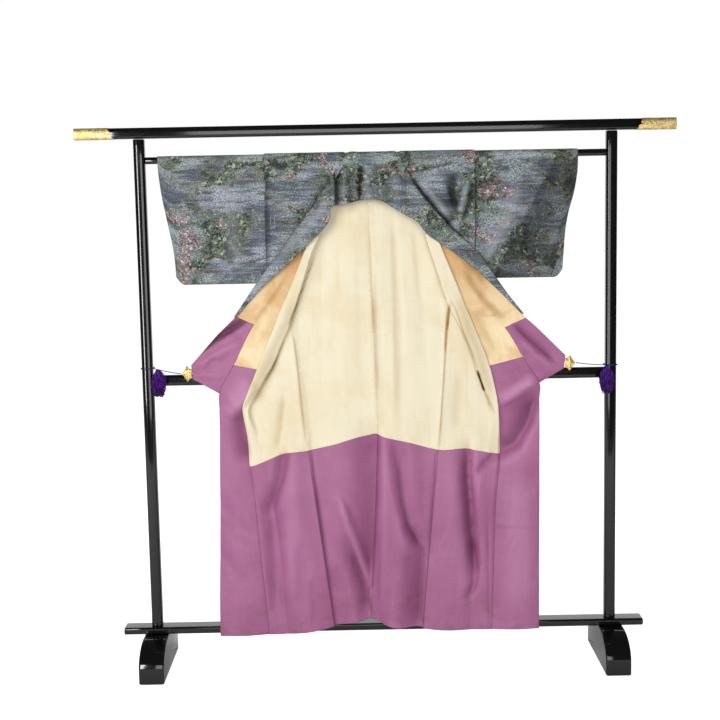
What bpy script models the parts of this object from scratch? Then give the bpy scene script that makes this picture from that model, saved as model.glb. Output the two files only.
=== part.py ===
"""A silk kimono hung open on a lacquered stand, its fronts drawn aside by clips and cords.

Metres, +Z up, +X to the viewer's right, -Y towards the viewer. The origin is on the floor under
the middle of the stand. The cloth is worked out in two steps. A section at one height is a row of
flat stretches joined by folds: from the centre seam outwards to the side seam, the rolled pleat,
the overlap seam and the front edge. The sections at all heights make one grid for each half, and each
cut piece is a stretch of that grid, given a wall on its own side of the shared middle.

"Outward" is the distance from the middle plane on either side, and "forward" is -Y.
"""

import math

import bmesh
import bpy
import numpy as np

COLLECTION = "kimono_on_stand"
LEFT, RIGHT = -1.0, 1.0
SIDE_NAMES = {LEFT: "left", RIGHT: "right"}

# ---------------------------------------------------------------- sizes of the stand
GAP = 0.0003
POST_SPACING = 1.484
POST_WIDTH = 0.036
RAIL_LENGTH = 1.890
RAIL_HEIGHT = 0.037
RAIL_DEPTH = 0.030
RAIL_TOP = 1.755
CAP_LENGTH = 0.119
ROD_HEIGHT = 1.651
ROD_RADIUS = 0.011
MID_RAIL_CENTRE = 0.953
MID_RAIL_HEIGHT = 0.035
MID_RAIL_DEPTH = 0.024
BOARD_LENGTH = 1.696
BOARD_DEPTH = 0.062
BOARD_TOP = 0.142
BOARD_BOTTOM = 0.119
FOOT_LENGTH = 0.336
FOOT_WIDTH = 0.081
FOOT_TOE_HEIGHT = 0.045
FOOT_FLAT_TOP = 0.100
LACQUER_ROUND = 0.004

POST_X = POST_SPACING / 2
POST_INNER = POST_X - POST_WIDTH / 2
POST_FOOT = BOARD_TOP + GAP
POST_HEAD = RAIL_TOP - RAIL_HEIGHT - GAP

# ---------------------------------------------------------------- sizes of the cloth
PLY = 0.0012
PLY_GAP = 0.0003
FACE = PLY_GAP / 2
LINING_SIDE = (-FACE - PLY, -FACE)
SILK_SIDE = (FACE, FACE + PLY)
COLLAR_SIDE = (-0.0008, 0.0008)
SLEEVE_SIDE = (-0.0007, 0.0007)
OVER_ROD = ROD_RADIUS + GAP + FACE + PLY + 0.0001
NECKLINE_DROP = 0.018
FOLD_ROUND = 0.003
EDGE_FOLD_ROUND = 0.002
TUCK_MARGIN = 0.012
ROD_ANGLES = (10, 46, 82, 118, 154, 180)
ARC_STEPS = 3
SEAM_STEP = 2
BACK_STEPS, FACE_STEPS, ROLL_STEPS, OVERLAP_STEPS = 6, 3, 2, 4
FOLD_STEPS = 2 * ARC_STEPS + 1

# Columns of a half's grid where one cut piece meets the next.
SIDE_SEAM = BACK_STEPS + ARC_STEPS + 1 + SEAM_STEP
OVERLAP_SEAM = BACK_STEPS + FOLD_STEPS + FACE_STEPS + FOLD_STEPS + ROLL_STEPS + ARC_STEPS + 1 + SEAM_STEP
FRONT_EDGE = BACK_STEPS + 3 * FOLD_STEPS + FACE_STEPS + ROLL_STEPS + OVERLAP_STEPS

# Where the hanging cloth lies in depth: forward of the rod's axis, by height.
HANG_HEIGHT = (0.10, 0.40, 0.70, 0.95, 1.13, 1.30, 1.50, 1.60, 1.651)
HANG_FORWARD = (0.045, 0.037, 0.028, 0.0205, 0.0110, 0.0020, -0.0075, -0.0113, -OVER_ROD)

# One row for each height. Outward distances of the centre seam, side seam, roll's inner edge,
# roll's outer edge and front edge; for each of the three folds how far it turns (degrees) and the
# run between its two rounds; then the swell of the back, of the front's face and of the overlap.
BODY_COLUMNS = ("z", "centre", "side", "roll", "edge", "front", "side_turn", "side_run",
                "roll_turn", "roll_run", "edge_turn", "edge_run", "back_swell", "face_swell",
                "overlap_swell", "front_forward")
LEFT_BODY = (
    (0.12, 0.041, 0.160, 0.330, 0.362, 0.531, 178, 0.040, 0, 0.003, 20, 0.003, 0.016, 0.012, 0.010, 0.054),
    (0.25, 0.033, 0.176, 0.336, 0.371, 0.529, 175, 0.032, 0, 0.003, 20, 0.003, 0.014, 0.011, 0.010, 0.052),
    (0.40, 0.023, 0.195, 0.345, 0.383, 0.524, 165, 0.020, 0, 0.003, 20, 0.003, 0.012, 0.010, 0.009, 0.047),
    (0.55, 0.015, 0.214, 0.356, 0.394, 0.520, 120, 0.006, 0, 0.003, 25, 0.003, 0.009, 0.008, 0.008, 0.041),
    (0.70, 0.009, 0.233, 0.372, 0.412, 0.517, 35, 0.003, 0, 0.003, 45, 0.003, 0.005, 0.006, 0.007, 0.036),
    (0.80, 0.008, 0.243, 0.385, 0.426, 0.514, 15, 0.003, 20, 0.003, 110, 0.004, 0.003, 0.003, 0.006, 0.033),
    (0.87, 0.009, 0.249, 0.400, 0.433, 0.513, 15, 0.003, 60, 0.003, 165, 0.008, 0.003, 0.002, 0.006, 0.030),
    (0.915, 0.011, 0.253, 0.388, 0.420, 0.512, 15, 0.003, 130, 0.003, 178, 0.010, 0.003, 0.002, 0.004, 0.027),
    (0.985, 0.012, 0.259, 0.350, 0.391, 0.464, 15, 0.003, 175, 0.004, 178, 0.014, 0.003, 0.002, 0.002, 0.026),
    (1.06, 0.014, 0.268, 0.314, 0.358, 0.434, 15, 0.003, 178, 0.004, 178, 0.016, 0.002, 0.001, 0.002, 0.024),
    (1.13, 0.017, 0.273, 0.282, 0.327, 0.396, 10, 0.003, 178, 0.005, 178, 0.018, 0.002, 0.000, 0.002, 0.020),
    (1.146, 0.017, 0.274, 0.277, 0.321, 0.386, 10, 0.003, 178, 0.009, 178, 0.016, 0.002, 0.000, 0.002, 0.019),
    (1.21, 0.018, 0.254, 0.256, 0.292, 0.341, 10, 0.003, 178, 0.006, 178, 0.012, 0.002, 0.000, 0.001, 0.017),
    (1.29, 0.020, 0.227, 0.229, 0.257, 0.286, 10, 0.003, 178, 0.004, 178, 0.005, 0.002, 0.000, 0.000, 0.013),
    (1.365, 0.022, 0.201, 0.203, 0.227, 0.246, 10, 0.003, 178, 0.004, 178, 0.003, 0.001, 0.000, 0.000, 0.010),
    (1.405, 0.023, 0.182, 0.184, 0.214, 0.228, 10, 0.003, 178, 0.004, 178, 0.003, 0.001, 0.000, 0.000, 0.009),
)
RIGHT_BODY = (
    (0.12, -0.041, 0.127, 0.300, 0.338, 0.504, 178, 0.030, 0, 0.003, 20, 0.003, 0.034, 0.012, 0.008, 0.054),
    (0.25, -0.033, 0.139, 0.305, 0.343, 0.505, 175, 0.026, 0, 0.003, 20, 0.003, 0.030, 0.011, 0.008, 0.052),
    (0.40, -0.023, 0.154, 0.314, 0.349, 0.506, 165, 0.018, 0, 0.003, 20, 0.003, 0.025, 0.010, 0.007, 0.047),
    (0.55, -0.015, 0.169, 0.324, 0.356, 0.508, 120, 0.006, 0, 0.003, 25, 0.003, 0.018, 0.008, 0.007, 0.041),
    (0.70, -0.009, 0.184, 0.332, 0.372, 0.509, 35, 0.003, 0, 0.003, 45, 0.003, 0.010, 0.006, 0.006, 0.036),
    (0.80, -0.008, 0.194, 0.337, 0.379, 0.510, 15, 0.003, 20, 0.003, 110, 0.004, 0.006, 0.003, 0.005, 0.033),
    (0.87, -0.009, 0.201, 0.337, 0.379, 0.510, 15, 0.003, 60, 0.003, 165, 0.008, 0.005, 0.002, 0.005, 0.030),
    (0.928, -0.011, 0.205, 0.322, 0.366, 0.510, 15, 0.003, 130, 0.003, 178, 0.010, 0.004, 0.002, 0.004, 0.027),
    (0.990, -0.012, 0.209, 0.302, 0.352, 0.459, 15, 0.003, 175, 0.004, 178, 0.016, 0.003, 0.002, 0.002, 0.026),
    (1.05, -0.013, 0.212, 0.282, 0.327, 0.436, 15, 0.003, 178, 0.004, 178, 0.018, 0.003, 0.001, 0.002, 0.024),
    (1.105, -0.016, 0.215, 0.258, 0.303, 0.402, 15, 0.003, 178, 0.005, 178, 0.020, 0.002, 0.000, 0.002, 0.021),
    (1.19, -0.018, 0.213, 0.220, 0.270, 0.335, 10, 0.003, 178, 0.004, 178, 0.020, 0.002, 0.000, 0.001, 0.017),
    (1.206, -0.018, 0.214, 0.215, 0.264, 0.323, 10, 0.003, 178, 0.010, 178, 0.020, 0.002, 0.000, 0.001, 0.016),
    (1.28, -0.020, 0.192, 0.192, 0.235, 0.266, 10, 0.003, 178, 0.012, 178, 0.014, 0.002, 0.000, 0.000, 0.013),
    (1.365, -0.022, 0.165, 0.165, 0.201, 0.224, 10, 0.003, 178, 0.012, 178, 0.010, 0.001, 0.000, 0.000, 0.010),
    (1.405, -0.023, 0.152, 0.152, 0.186, 0.203, 10, 0.003, 178, 0.012, 178, 0.006, 0.001, 0.000, 0.000, 0.009),
)
HEM_LINING_ROW = 4
COLLAR_ROW = 7
OVERLAP_HEM_LINING_ROW = 8
COLLAR_HEM_LINING_ROW = 10
SEAM_TOP_ROW = {LEFT: 10, RIGHT: 11}
FRONT_LIFT = 0.0045
SEAM_TOP_STEP = 0.002

# Above the side seam the back panel spreads to the armhole: one row for each height.
SPREAD_COLUMNS = ("z", "centre_x", "left_side", "right_side")
BACK_SPREAD = (
    (1.24, -0.019, 0.312, 0.246),
    (1.31, -0.021, 0.335, 0.291),
    (1.40, -0.024, 0.346, 0.306),
    (1.51, -0.028, 0.346, 0.308),
    (1.61, -0.030, 0.345, 0.308),
)

# Heights of the hem and of the hem_lining's upper edge, by distance from the middle plane.
EDGE_COLUMNS = ("x", "hem", "hem_lining")
EDGE_LINES = (
    (-0.540, 0.119, 0.660),
    (-0.413, 0.121, 0.674),
    (-0.307, 0.124, 0.713),
    (-0.236, 0.131, 0.721),
    (-0.160, 0.144, 0.736),
    (-0.060, 0.163, 0.765),
    (0.000, 0.156, 0.766),
    (0.083, 0.136, 0.743),
    (0.186, 0.128, 0.716),
    (0.267, 0.126, 0.718),
    (0.377, 0.125, 0.698),
    (0.540, 0.124, 0.690),
)
OVERLAP_HEM_LINING_HEIGHT = {LEFT: (0.982, 1.002), RIGHT: (0.979, 1.011)}

# The turned-out collar's free edge, one row for each height of the body from COLLAR_ROW up: outward
# distance, height and forward distance. Its other edge is sewn to the front edge of the overlap.
COLLAR_COLUMNS = ("free_out", "free_z", "free_forward")
LEFT_COLLAR = (
    (0.596, 0.959, 0.0260),
    (0.599, 1.004, 0.0260),
    (0.515, 1.096, 0.0240),
    (0.452, 1.156, 0.0215),
    (0.439, 1.174, 0.0210),
    (0.390, 1.244, 0.0190),
    (0.329, 1.320, 0.0150),
    (0.279, 1.388, 0.0130),
    (0.251, 1.425, 0.0120),
)
RIGHT_COLLAR = (
    (0.588, 0.970, 0.0260),
    (0.594, 1.013, 0.0260),
    (0.500, 1.107, 0.0240),
    (0.468, 1.135, 0.0225),
    (0.390, 1.233, 0.0190),
    (0.377, 1.249, 0.0180),
    (0.320, 1.321, 0.0145),
    (0.246, 1.400, 0.0125),
    (0.227, 1.426, 0.0120),
)
COLLAR_STEPS = 3

# The over collar, from its left end round the back of the neck to its right end: the sewn edge and
# the free edge (x, height, forward).
OVER_COLUMNS = ("sewn_x", "sewn_z", "sewn_forward", "free_x", "free_z", "free_forward")
OVER_COLLAR = (
    (-0.459, 1.154, 0.0250, -0.451, 1.153, 0.0250),
    (-0.424, 1.204, 0.0240, -0.410, 1.199, 0.0240),
    (-0.385, 1.259, 0.0235, -0.363, 1.249, 0.0240),
    (-0.342, 1.315, 0.0230, -0.311, 1.296, 0.0240),
    (-0.298, 1.372, 0.0225, -0.258, 1.341, 0.0240),
    (-0.257, 1.427, 0.0220, -0.205, 1.392, 0.0240),
    (-0.217, 1.481, 0.0215, -0.160, 1.437, 0.0245),
    (-0.166, 1.551, 0.0195, -0.147, 1.462, 0.0260),
    (-0.115, 1.612, 0.0170, -0.141, 1.497, 0.0300),
    (-0.080, 1.621, 0.0168, -0.100, 1.503, 0.0290),
    (-0.045, 1.621, 0.0168, -0.062, 1.513, 0.0300),
    (-0.010, 1.621, 0.0168, -0.020, 1.518, 0.0270),
    (0.025, 1.621, 0.0168, 0.015, 1.513, 0.0280),
    (0.058, 1.616, 0.0168, 0.052, 1.490, 0.0290),
    (0.088, 1.597, 0.0175, 0.095, 1.463, 0.0280),
    (0.130, 1.547, 0.0195, 0.128, 1.443, 0.0260),
    (0.182, 1.486, 0.0215, 0.157, 1.407, 0.0250),
    (0.236, 1.423, 0.0220, 0.197, 1.377, 0.0240),
    (0.280, 1.382, 0.0225, 0.241, 1.347, 0.0240),
    (0.322, 1.338, 0.0230, 0.289, 1.311, 0.0240),
    (0.367, 1.276, 0.0235, 0.343, 1.262, 0.0240),
    (0.415, 1.208, 0.0240, 0.402, 1.203, 0.0240),
    (0.462, 1.148, 0.0250, 0.456, 1.147, 0.0250),
)
OVER_COLLAR_STEPS = 4

# The front's shoulder stretch, hung over the rod and ending under the over collar: one row for
# each height, with the outward distances of its inner edge and of the armhole.
SHOULDER_COLUMNS = ("z", "left_inner", "left_arm", "right_inner", "right_arm", "forward")
SHOULDER = (
    (1.6310, 0.098, 0.3445, 0.075, 0.3075, 0.0132),
    (1.5800, 0.130, 0.3455, 0.088, 0.3080, 0.0140),
    (1.5300, 0.168, 0.3460, 0.132, 0.3080, 0.0148),
    (1.4800, 0.204, 0.3460, 0.174, 0.3075, 0.0155),
    (1.4300, 0.241, 0.3460, 0.218, 0.3070, 0.0160),
    (1.3800, 0.279, 0.3460, 0.262, 0.3060, 0.0165),
    (1.3450, 0.305, 0.3460, 0.292, 0.3055, 0.0165),
)
SHOULDER_STEPS = 5

# The sleeves: outward distances of the armhole edge and of the cuff by height, and the bottom.
SLEEVE_COLUMNS = ("z", "left_arm", "left_cuff", "right_arm", "right_cuff")
SLEEVE = (
    (1.258, 0.3620, 0.6400, 0.3100, 0.5880),
    (1.285, 0.3600, 0.6405, 0.3100, 0.5885),
    (1.342, 0.3560, 0.6430, 0.3110, 0.5920),
    (1.456, 0.3500, 0.6600, 0.3115, 0.6030),
    (1.540, 0.3480, 0.6750, 0.3115, 0.6250),
    (1.600, 0.3475, 0.6820, 0.3110, 0.6340),
    (1.670, 0.3470, 0.6860, 0.3110, 0.6350),
)
SLEEVE_BOTTOM = {LEFT: 1.259, RIGHT: 1.262}
SLEEVE_CORNER = 0.028
SLEEVE_SWELL = 0.004
SLEEVE_HEM_ROUND = 0.0035
CUFF_OPENING = 0.230
CUFF_CLOSED = 0.0013
SLEEVE_STATIONS = 9
SLEEVE_WALL_STEPS = 6
SLEEVE_ROUND_STEPS = 6
SLEEVE_HEM_STEPS = 3

# The clips, their cords and the tassels.
CLIP_WIDTH = 0.039
CLIP_HEIGHT = 0.053
CLIP_DEPTH = 0.0080
CLIP_SLOT = 0.0038
CLIP_GRIP = 0.007
CLIP_FORWARD = 0.0260
CLIP_OUTWARD = {LEFT: 0.5990, RIGHT: 0.5940}
CLIP_MIDDLE = {LEFT: 0.9765, RIGHT: 0.9885}
CORD_RADIUS = 0.0015
LOOP_HEIGHT = {LEFT: 0.9935, RIGHT: 0.9780}
TASSEL_OUTWARD = {LEFT: 0.7040, RIGHT: 0.7240}
TASSEL_DROP = 0.009
TASSEL_HEAD = 0.0120
TASSEL_LENGTH = 0.082
TASSEL_SPREAD = 0.0250
TASSEL_FLATTEN = 0.46
STRANDS = 24
STRAND_RADIUS = 0.0009
GOLDEN_ANGLE = math.radians(137.508)

FINISHES = {
    "black_lacquer": ((0.012, 0.012, 0.014), 0.12, 0.0),
    "gilt": ((0.83, 0.60, 0.22), 0.32, 1.0),
    "patterned_silk": ((0.20, 0.23, 0.28), 0.55, 0.0),
    "cream_lining": ((0.88, 0.80, 0.62), 0.60, 0.0),
    "aged_lining": ((0.86, 0.66, 0.38), 0.60, 0.0),
    "mauve_hem_lining": ((0.42, 0.15, 0.34), 0.45, 0.0),
    "violet_tassel": ((0.09, 0.02, 0.20), 0.65, 0.0),
}


# ---------------------------------------------------------------- helpers
def clear_scene():
    for obj in list(bpy.data.objects):
        bpy.data.objects.remove(obj, do_unlink=True)


def make_collection(name):
    collection = bpy.data.collections.new(name)
    bpy.context.scene.collection.children.link(collection)
    return collection


def make_finish(name):
    colour, roughness, metallic = FINISHES[name]
    finish = bpy.data.materials.new(name)
    finish.use_nodes = True
    shader = finish.node_tree.nodes["Principled BSDF"]
    shader.inputs["Base Color"].default_value = (*colour, 1.0)
    shader.inputs["Roughness"].default_value = roughness
    shader.inputs["Metallic"].default_value = metallic
    return finish


def place(name, data, finish, smooth=True):
    """Link an object that holds the data, with its finish."""
    obj = bpy.data.objects.new(name, data)
    bpy.data.collections[COLLECTION].objects.link(obj)
    data.materials.append(bpy.data.materials[finish])
    if smooth and isinstance(data, bpy.types.Mesh):
        data.shade_smooth()
        data.set_sharp_from_angle(angle=math.radians(40))
    return obj


def box(name, finish, size, centre, rounding=LACQUER_ROUND):
    """A box of a given size about a centre, its edges rounded."""
    mesh = bpy.data.meshes.new(name)
    work = bmesh.new()
    bmesh.ops.create_cube(work, size=1.0)
    bmesh.ops.scale(work, vec=size, verts=work.verts)
    work.to_mesh(mesh)
    work.free()
    obj = place(name, mesh, finish)
    obj.location = centre
    bevel = obj.modifiers.new("rounded_edges", "BEVEL")
    bevel.width = rounding
    bevel.segments = 2
    return obj


def as_mesh(obj):
    """Turn a curve object into a mesh object of the same name, with its caps welded."""
    bpy.context.view_layer.update()
    evaluated = obj.evaluated_get(bpy.context.evaluated_depsgraph_get())
    mesh = bpy.data.meshes.new_from_object(evaluated)
    work = bmesh.new()
    work.from_mesh(mesh)
    bmesh.ops.remove_doubles(work, verts=work.verts, dist=0.00001)
    work.to_mesh(mesh)
    work.free()
    name, finish, matrix = obj.name, obj.data.materials[0].name, obj.matrix_world.copy()
    bpy.data.objects.remove(obj, do_unlink=True)
    mesh.materials.clear()
    solid = place(name, mesh, finish)
    solid.matrix_world = matrix
    return solid


def cut(obj, cutter, operation="DIFFERENCE"):
    """Cut or join one mesh with another now, and drop the other."""
    boolean = obj.modifiers.new("shaping", "BOOLEAN")
    boolean.operation = operation
    boolean.object = cutter
    bpy.context.view_layer.update()
    evaluated = obj.evaluated_get(bpy.context.evaluated_depsgraph_get())
    shaped = bpy.data.meshes.new_from_object(evaluated)
    obj.modifiers.remove(boolean)
    obj.data = shaped
    bpy.data.objects.remove(cutter, do_unlink=True)


def through(position, knots, values):
    """A smooth curve through a table's values: cubic pieces whose slopes are the table's own."""
    knots, values = np.asarray(knots, float), np.asarray(values, float)
    slopes = np.gradient(values, knots)
    i = np.clip(np.searchsorted(knots, position, side="right") - 1, 0, len(knots) - 2)
    span = knots[i + 1] - knots[i]
    t = np.clip((position - knots[i]) / span, 0.0, 1.0)
    rise = t * t * (3.0 - 2.0 * t)
    return (values[i] * (1.0 - rise) + values[i + 1] * rise
            + span * slopes[i] * t * (1.0 - t) ** 2 - span * slopes[i + 1] * t * t * (1.0 - t))


def column(table, columns, name):
    return np.array([row[columns.index(name)] for row in table], float)


def unit(vectors):
    return vectors / np.linalg.norm(vectors, axis=-1, keepdims=True)


def normals_of(grid):
    """Unit normals of a grid of points, from the directions of the grid's two lines at each one."""
    along = np.gradient(grid, axis=0)
    steps = unit(np.diff(grid, axis=1))
    across = np.concatenate([steps[:, :1], steps[:, :-1] + steps[:, 1:], steps[:, -1:]], axis=1)
    return unit(np.cross(across, along))


def cloth_wall(name, finish, middle, normals, side, closed=False):
    """A wall between two copies of a grid, moved along the grid's own normals.

    Neighbouring pieces share those normals at a seam, also on a fold, so their cut edges stay
    parallel and the gap between them stays even. A closed grid's last column joins its first.
    """
    rows, columns = middle.shape[:2]
    near, far = (middle + normals * side[0]), (middle + normals * side[1])
    points = np.concatenate([near.reshape(-1, 3), far.reshape(-1, 3)])
    count = rows * columns
    index = np.arange(count).reshape(rows, columns)
    following = np.roll(index, -1, axis=1)
    last = columns if closed else columns - 1
    a, b = index[:-1, :last], following[:-1, :last]
    c, d = following[1:, :last], index[1:, :last]
    near_faces = np.stack([a, d, c, b], -1).reshape(-1, 4)
    far_faces = np.stack([a, b, c, d], -1).reshape(-1, 4) + count
    rims = [rim_faces(index[0, :], count, closed), rim_faces(index[-1, ::-1], count, closed)]
    if not closed:
        rims += [rim_faces(index[::-1, 0], count), rim_faces(index[:, -1], count)]
    faces = np.concatenate([near_faces, far_faces] + rims)
    mesh = bpy.data.meshes.new(name)
    mesh.from_pydata(points.tolist(), [], faces.tolist())
    work = bmesh.new()
    work.from_mesh(mesh)
    bmesh.ops.recalc_face_normals(work, faces=work.faces)
    work.to_mesh(mesh)
    work.free()
    return place(name, mesh, finish)


def rim_faces(line, count, closed=False):
    """Faces that close a wall along one edge line of its grid."""
    ends = np.roll(line, -1)
    starts, ends = (line, ends) if closed else (line[:-1], ends[:-1])
    return np.stack([starts, ends, ends + count, starts + count], -1)


def piece(name, finish, grid, rows, columns, side):
    """One cut piece: a stretch of a grid of middle points and normals, drawn in at its edges."""
    middle, normals = (part[rows[0]:rows[1] + 1, columns[0]:columns[1] + 1] for part in grid)
    return cloth_wall(name, finish, drawn_in(middle), normals, side)


def drawn_in(middle):
    """Draw each edge line of a grid in by half the gap, measured square to that edge."""
    moved = middle.copy()
    moved[0] += inset(middle[0], middle[1])
    moved[-1] += inset(middle[-1], middle[-2])
    moved[:, 0] += inset(middle[:, 0], middle[:, 1])
    moved[:, -1] += inset(middle[:, -1], middle[:, -2])
    return moved


def inset(line, neighbour):
    inward = unit(neighbour - line)
    along = unit(np.gradient(line, axis=0))
    square = np.linalg.norm(np.cross(inward, along), axis=-1, keepdims=True)
    return inward * GAP / 2 / np.maximum(square, 0.35)


# ---------------------------------------------------------------- the hanging cloth
def fold(turn, run, towards, radius=FOLD_ROUND):
    """Steps (outward, forward) along a fold: a round, a straight run and a round back.

    Each round takes the same length of cloth, half a circle of the fold's radius, whatever angle
    it turns by, so the fold opens out flat where the turn goes to nothing.
    """
    part = (np.arange(ARC_STEPS) + 0.5) / ARC_STEPS
    heading = np.concatenate([part, [1.0], part[::-1]])[None, :] * turn[:, None]
    length = np.full(heading.shape, math.pi * radius / ARC_STEPS)
    length[:, ARC_STEPS] = run
    outward = np.cumsum(length * np.cos(heading), axis=1)
    forward = np.cumsum(length * np.sin(heading), axis=1) * towards
    start = np.zeros((len(turn), 1))
    return np.hstack([start, outward]), np.hstack([start, forward])


def stretch(start, end, steps, swell):
    """Steps between two points (outward, forward) of a section, swelling forward between them."""
    t = np.linspace(0.0, 1.0, steps + 1)[None, :]
    outward = start[0][:, None] * (1 - t) + end[0][:, None] * t
    forward = start[1][:, None] * (1 - t) + end[1][:, None] * t
    return outward, forward + swell[:, None] * np.sin(math.pi * t)


def back_stretch(centre, side_start, base, swell, tucked):
    """The back's section: a swell forward near the centre, then flat where the front covers it."""
    free_end = side_start - tucked
    t = np.linspace(0.0, 1.0, BACK_STEPS)[None, :]
    outward = centre[:, None] * (1 - t) + free_end[:, None] * t
    forward = base[:, None] + swell[:, None] * np.sin(math.pi * t) ** 2
    return np.hstack([outward, side_start[:, None]]), np.hstack([forward, base[:, None]])


def body_sections(table, base, lift):
    """Outward and forward positions of a half's sections, one row for each row of the table."""
    value = {name: column(table, BODY_COLUMNS, name) for name in BODY_COLUMNS}
    turn = {name: np.radians(value[name + "_turn"]) for name in ("side", "roll", "edge")}
    side = fold(turn["side"], value["side_run"], 1.0)
    roll = fold(turn["roll"], value["roll_run"], 1.0)
    edge = fold(turn["edge"], value["edge_run"], -1.0, EDGE_FOLD_ROUND)

    side_start = value["side"] + FOLD_ROUND - side[0][:, -1]
    roll_start = value["roll"] + FOLD_ROUND - roll[0][:, -1]
    edge_start = value["edge"] - EDGE_FOLD_ROUND
    front_base = base + lift
    side_end = front_base + side[1][:, -1]
    roll_end = side_end + roll[1][:, -1]
    overlap_start = (edge_start + edge[0][:, -1], roll_end + edge[1][:, -1])
    tucked = value["side_run"] * (1 - np.cos(turn["side"])) / 2 + TUCK_MARGIN

    parts = [
        back_stretch(value["centre"], side_start, front_base, value["back_swell"], tucked),
        (side[0] + side_start[:, None], side[1] + front_base[:, None]),
        stretch((value["side"] + FOLD_ROUND, side_end), (roll_start, side_end), FACE_STEPS,
                value["face_swell"]),
        (roll[0] + roll_start[:, None], roll[1] + side_end[:, None]),
        stretch((value["roll"] + FOLD_ROUND, roll_end), (edge_start, roll_end), ROLL_STEPS, 0 * base),
        (edge[0] + edge_start[:, None], edge[1] + roll_end[:, None]),
        stretch(overlap_start, (value["front"], value["front_forward"]), OVERLAP_STEPS,
                value["overlap_swell"]),
    ]
    return [np.hstack([parts[0][i]] + [part[i][:, 1:] for part in parts[1:]]) for i in (0, 1)]


def body_grid(side):
    """The grid of one half below the shoulder, with the unit normals on the silk's side."""
    table = LEFT_BODY if side == LEFT else RIGHT_BODY
    heights = column(table, BODY_COLUMNS, "z")
    base = through(heights, HANG_HEIGHT, HANG_FORWARD)
    lift = np.where(heights > heights[SEAM_TOP_ROW[side]], FRONT_LIFT, 0.0)
    outward, forward = body_sections(table, base, lift)
    grid = np.stack([side * outward, -forward, row_heights(side, heights, outward)], -1)
    normals = silk_normals(grid)
    normals[:, 0, 0] = 0.0
    return grid, unit(normals)


def row_heights(side, heights, outward):
    """Heights of the grid's points: level rows, bent to follow the hem and the hem_lining's edge."""
    places, hems, edges = (column(EDGE_LINES, EDGE_COLUMNS, name) for name in EDGE_COLUMNS)
    hem = through(side * outward[0], places, hems)
    hem_lining = through(side * outward[HEM_LINING_ROW], places, edges)
    z = np.repeat(heights[:, None], outward.shape[1], axis=1)
    below = heights[:HEM_LINING_ROW + 1]
    share = ((below - below[0]) / (below[-1] - below[0]))[:, None]
    z[:HEM_LINING_ROW + 1] = hem * (1 - share) + hem_lining * share
    fade = np.exp(-np.arange(1, len(heights) - HEM_LINING_ROW) / 1.3)[:, None]
    z[HEM_LINING_ROW + 1:] += fade * (hem_lining - heights[HEM_LINING_ROW])
    inner, outer = OVERLAP_HEM_LINING_HEIGHT[side]
    line = outward[OVERLAP_HEM_LINING_ROW]
    z[OVERLAP_HEM_LINING_ROW] = np.interp(line, (line[OVERLAP_SEAM], line[FRONT_EDGE]), (inner, outer))
    return z


def silk_normals(grid):
    """Normals of a hanging grid that point to its silk side, which faces +Y on a flat stretch."""
    normals = normals_of(grid)
    return normals * np.sign(normals[len(normals) // 2, 1, 1])


def with_collar(side, half):
    """The overlap and the collar as one grid from COLLAR_ROW up, sharing normals with the half."""
    table = LEFT_COLLAR if side == LEFT else RIGHT_COLLAR
    out, z, forward = (column(table, COLLAR_COLUMNS, name) for name in COLLAR_COLUMNS)
    free = np.stack([side * out, -forward, z], -1)
    grid, normals = half
    overlap = grid[COLLAR_ROW:, OVERLAP_SEAM:]
    joined = np.concatenate([overlap, ruled_grid(overlap[:, -1], free, COLLAR_STEPS)[:, 1:]], axis=1)
    joined_normals = silk_normals(joined)
    seam = FRONT_EDGE - OVERLAP_SEAM
    normals[COLLAR_ROW:, FRONT_EDGE] = joined_normals[:, seam]
    return joined[:, seam:], joined_normals[:, seam:]


def back_grid(side, half):
    """The back panel's grid from the hem over the rod to the neckline, and its normals."""
    seam_top = SEAM_TOP_ROW[side]
    lower, lower_normals = (part[:seam_top + 1, :SIDE_SEAM + 1] for part in half)
    centre = side * column(BACK_SPREAD, SPREAD_COLUMNS, "centre_x")
    edge = column(BACK_SPREAD, SPREAD_COLUMNS, SIDE_NAMES[side] + "_side")
    heights = column(BACK_SPREAD, SPREAD_COLUMNS, "z")
    share = lower[-1, :, 0] - lower[-1, 0, 0]
    share = share / share[-1]
    first = half[0][seam_top + 1, 0]
    first_edge = side * lower[-1, -1, 0] - SEAM_TOP_STEP
    rows = [level_row(side, side * first[0], first_edge, share, first[1] + FRONT_LIFT, first[2])]
    rows += [level_row(side, centre[i], edge[i], share, -forward, heights[i])
             for i, forward in enumerate(through(heights, HANG_HEIGHT, HANG_FORWARD))]
    for angle in np.radians(ROD_ANGLES):
        rows.append(level_row(side, centre[-1], edge[-1], share, OVER_ROD * math.cos(angle),
                              ROD_HEIGHT + OVER_ROD * math.sin(angle)))
    rows.append(level_row(side, centre[-1], edge[-1], share, -OVER_ROD, ROD_HEIGHT - NECKLINE_DROP))
    grid = np.concatenate([lower, np.array(rows)])
    normals = silk_normals(grid)
    normals[:, 0, 0] = 0.0
    normals[:seam_top + 1] = lower_normals
    return grid, unit(normals)


def level_row(side, centre, edge, share, y, z):
    """A straight row of points from the centre seam to the panel's edge."""
    outward = centre + (edge - centre) * share
    return np.stack([side * outward, np.full(len(share), y), np.full(len(share), z)], -1)


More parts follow.
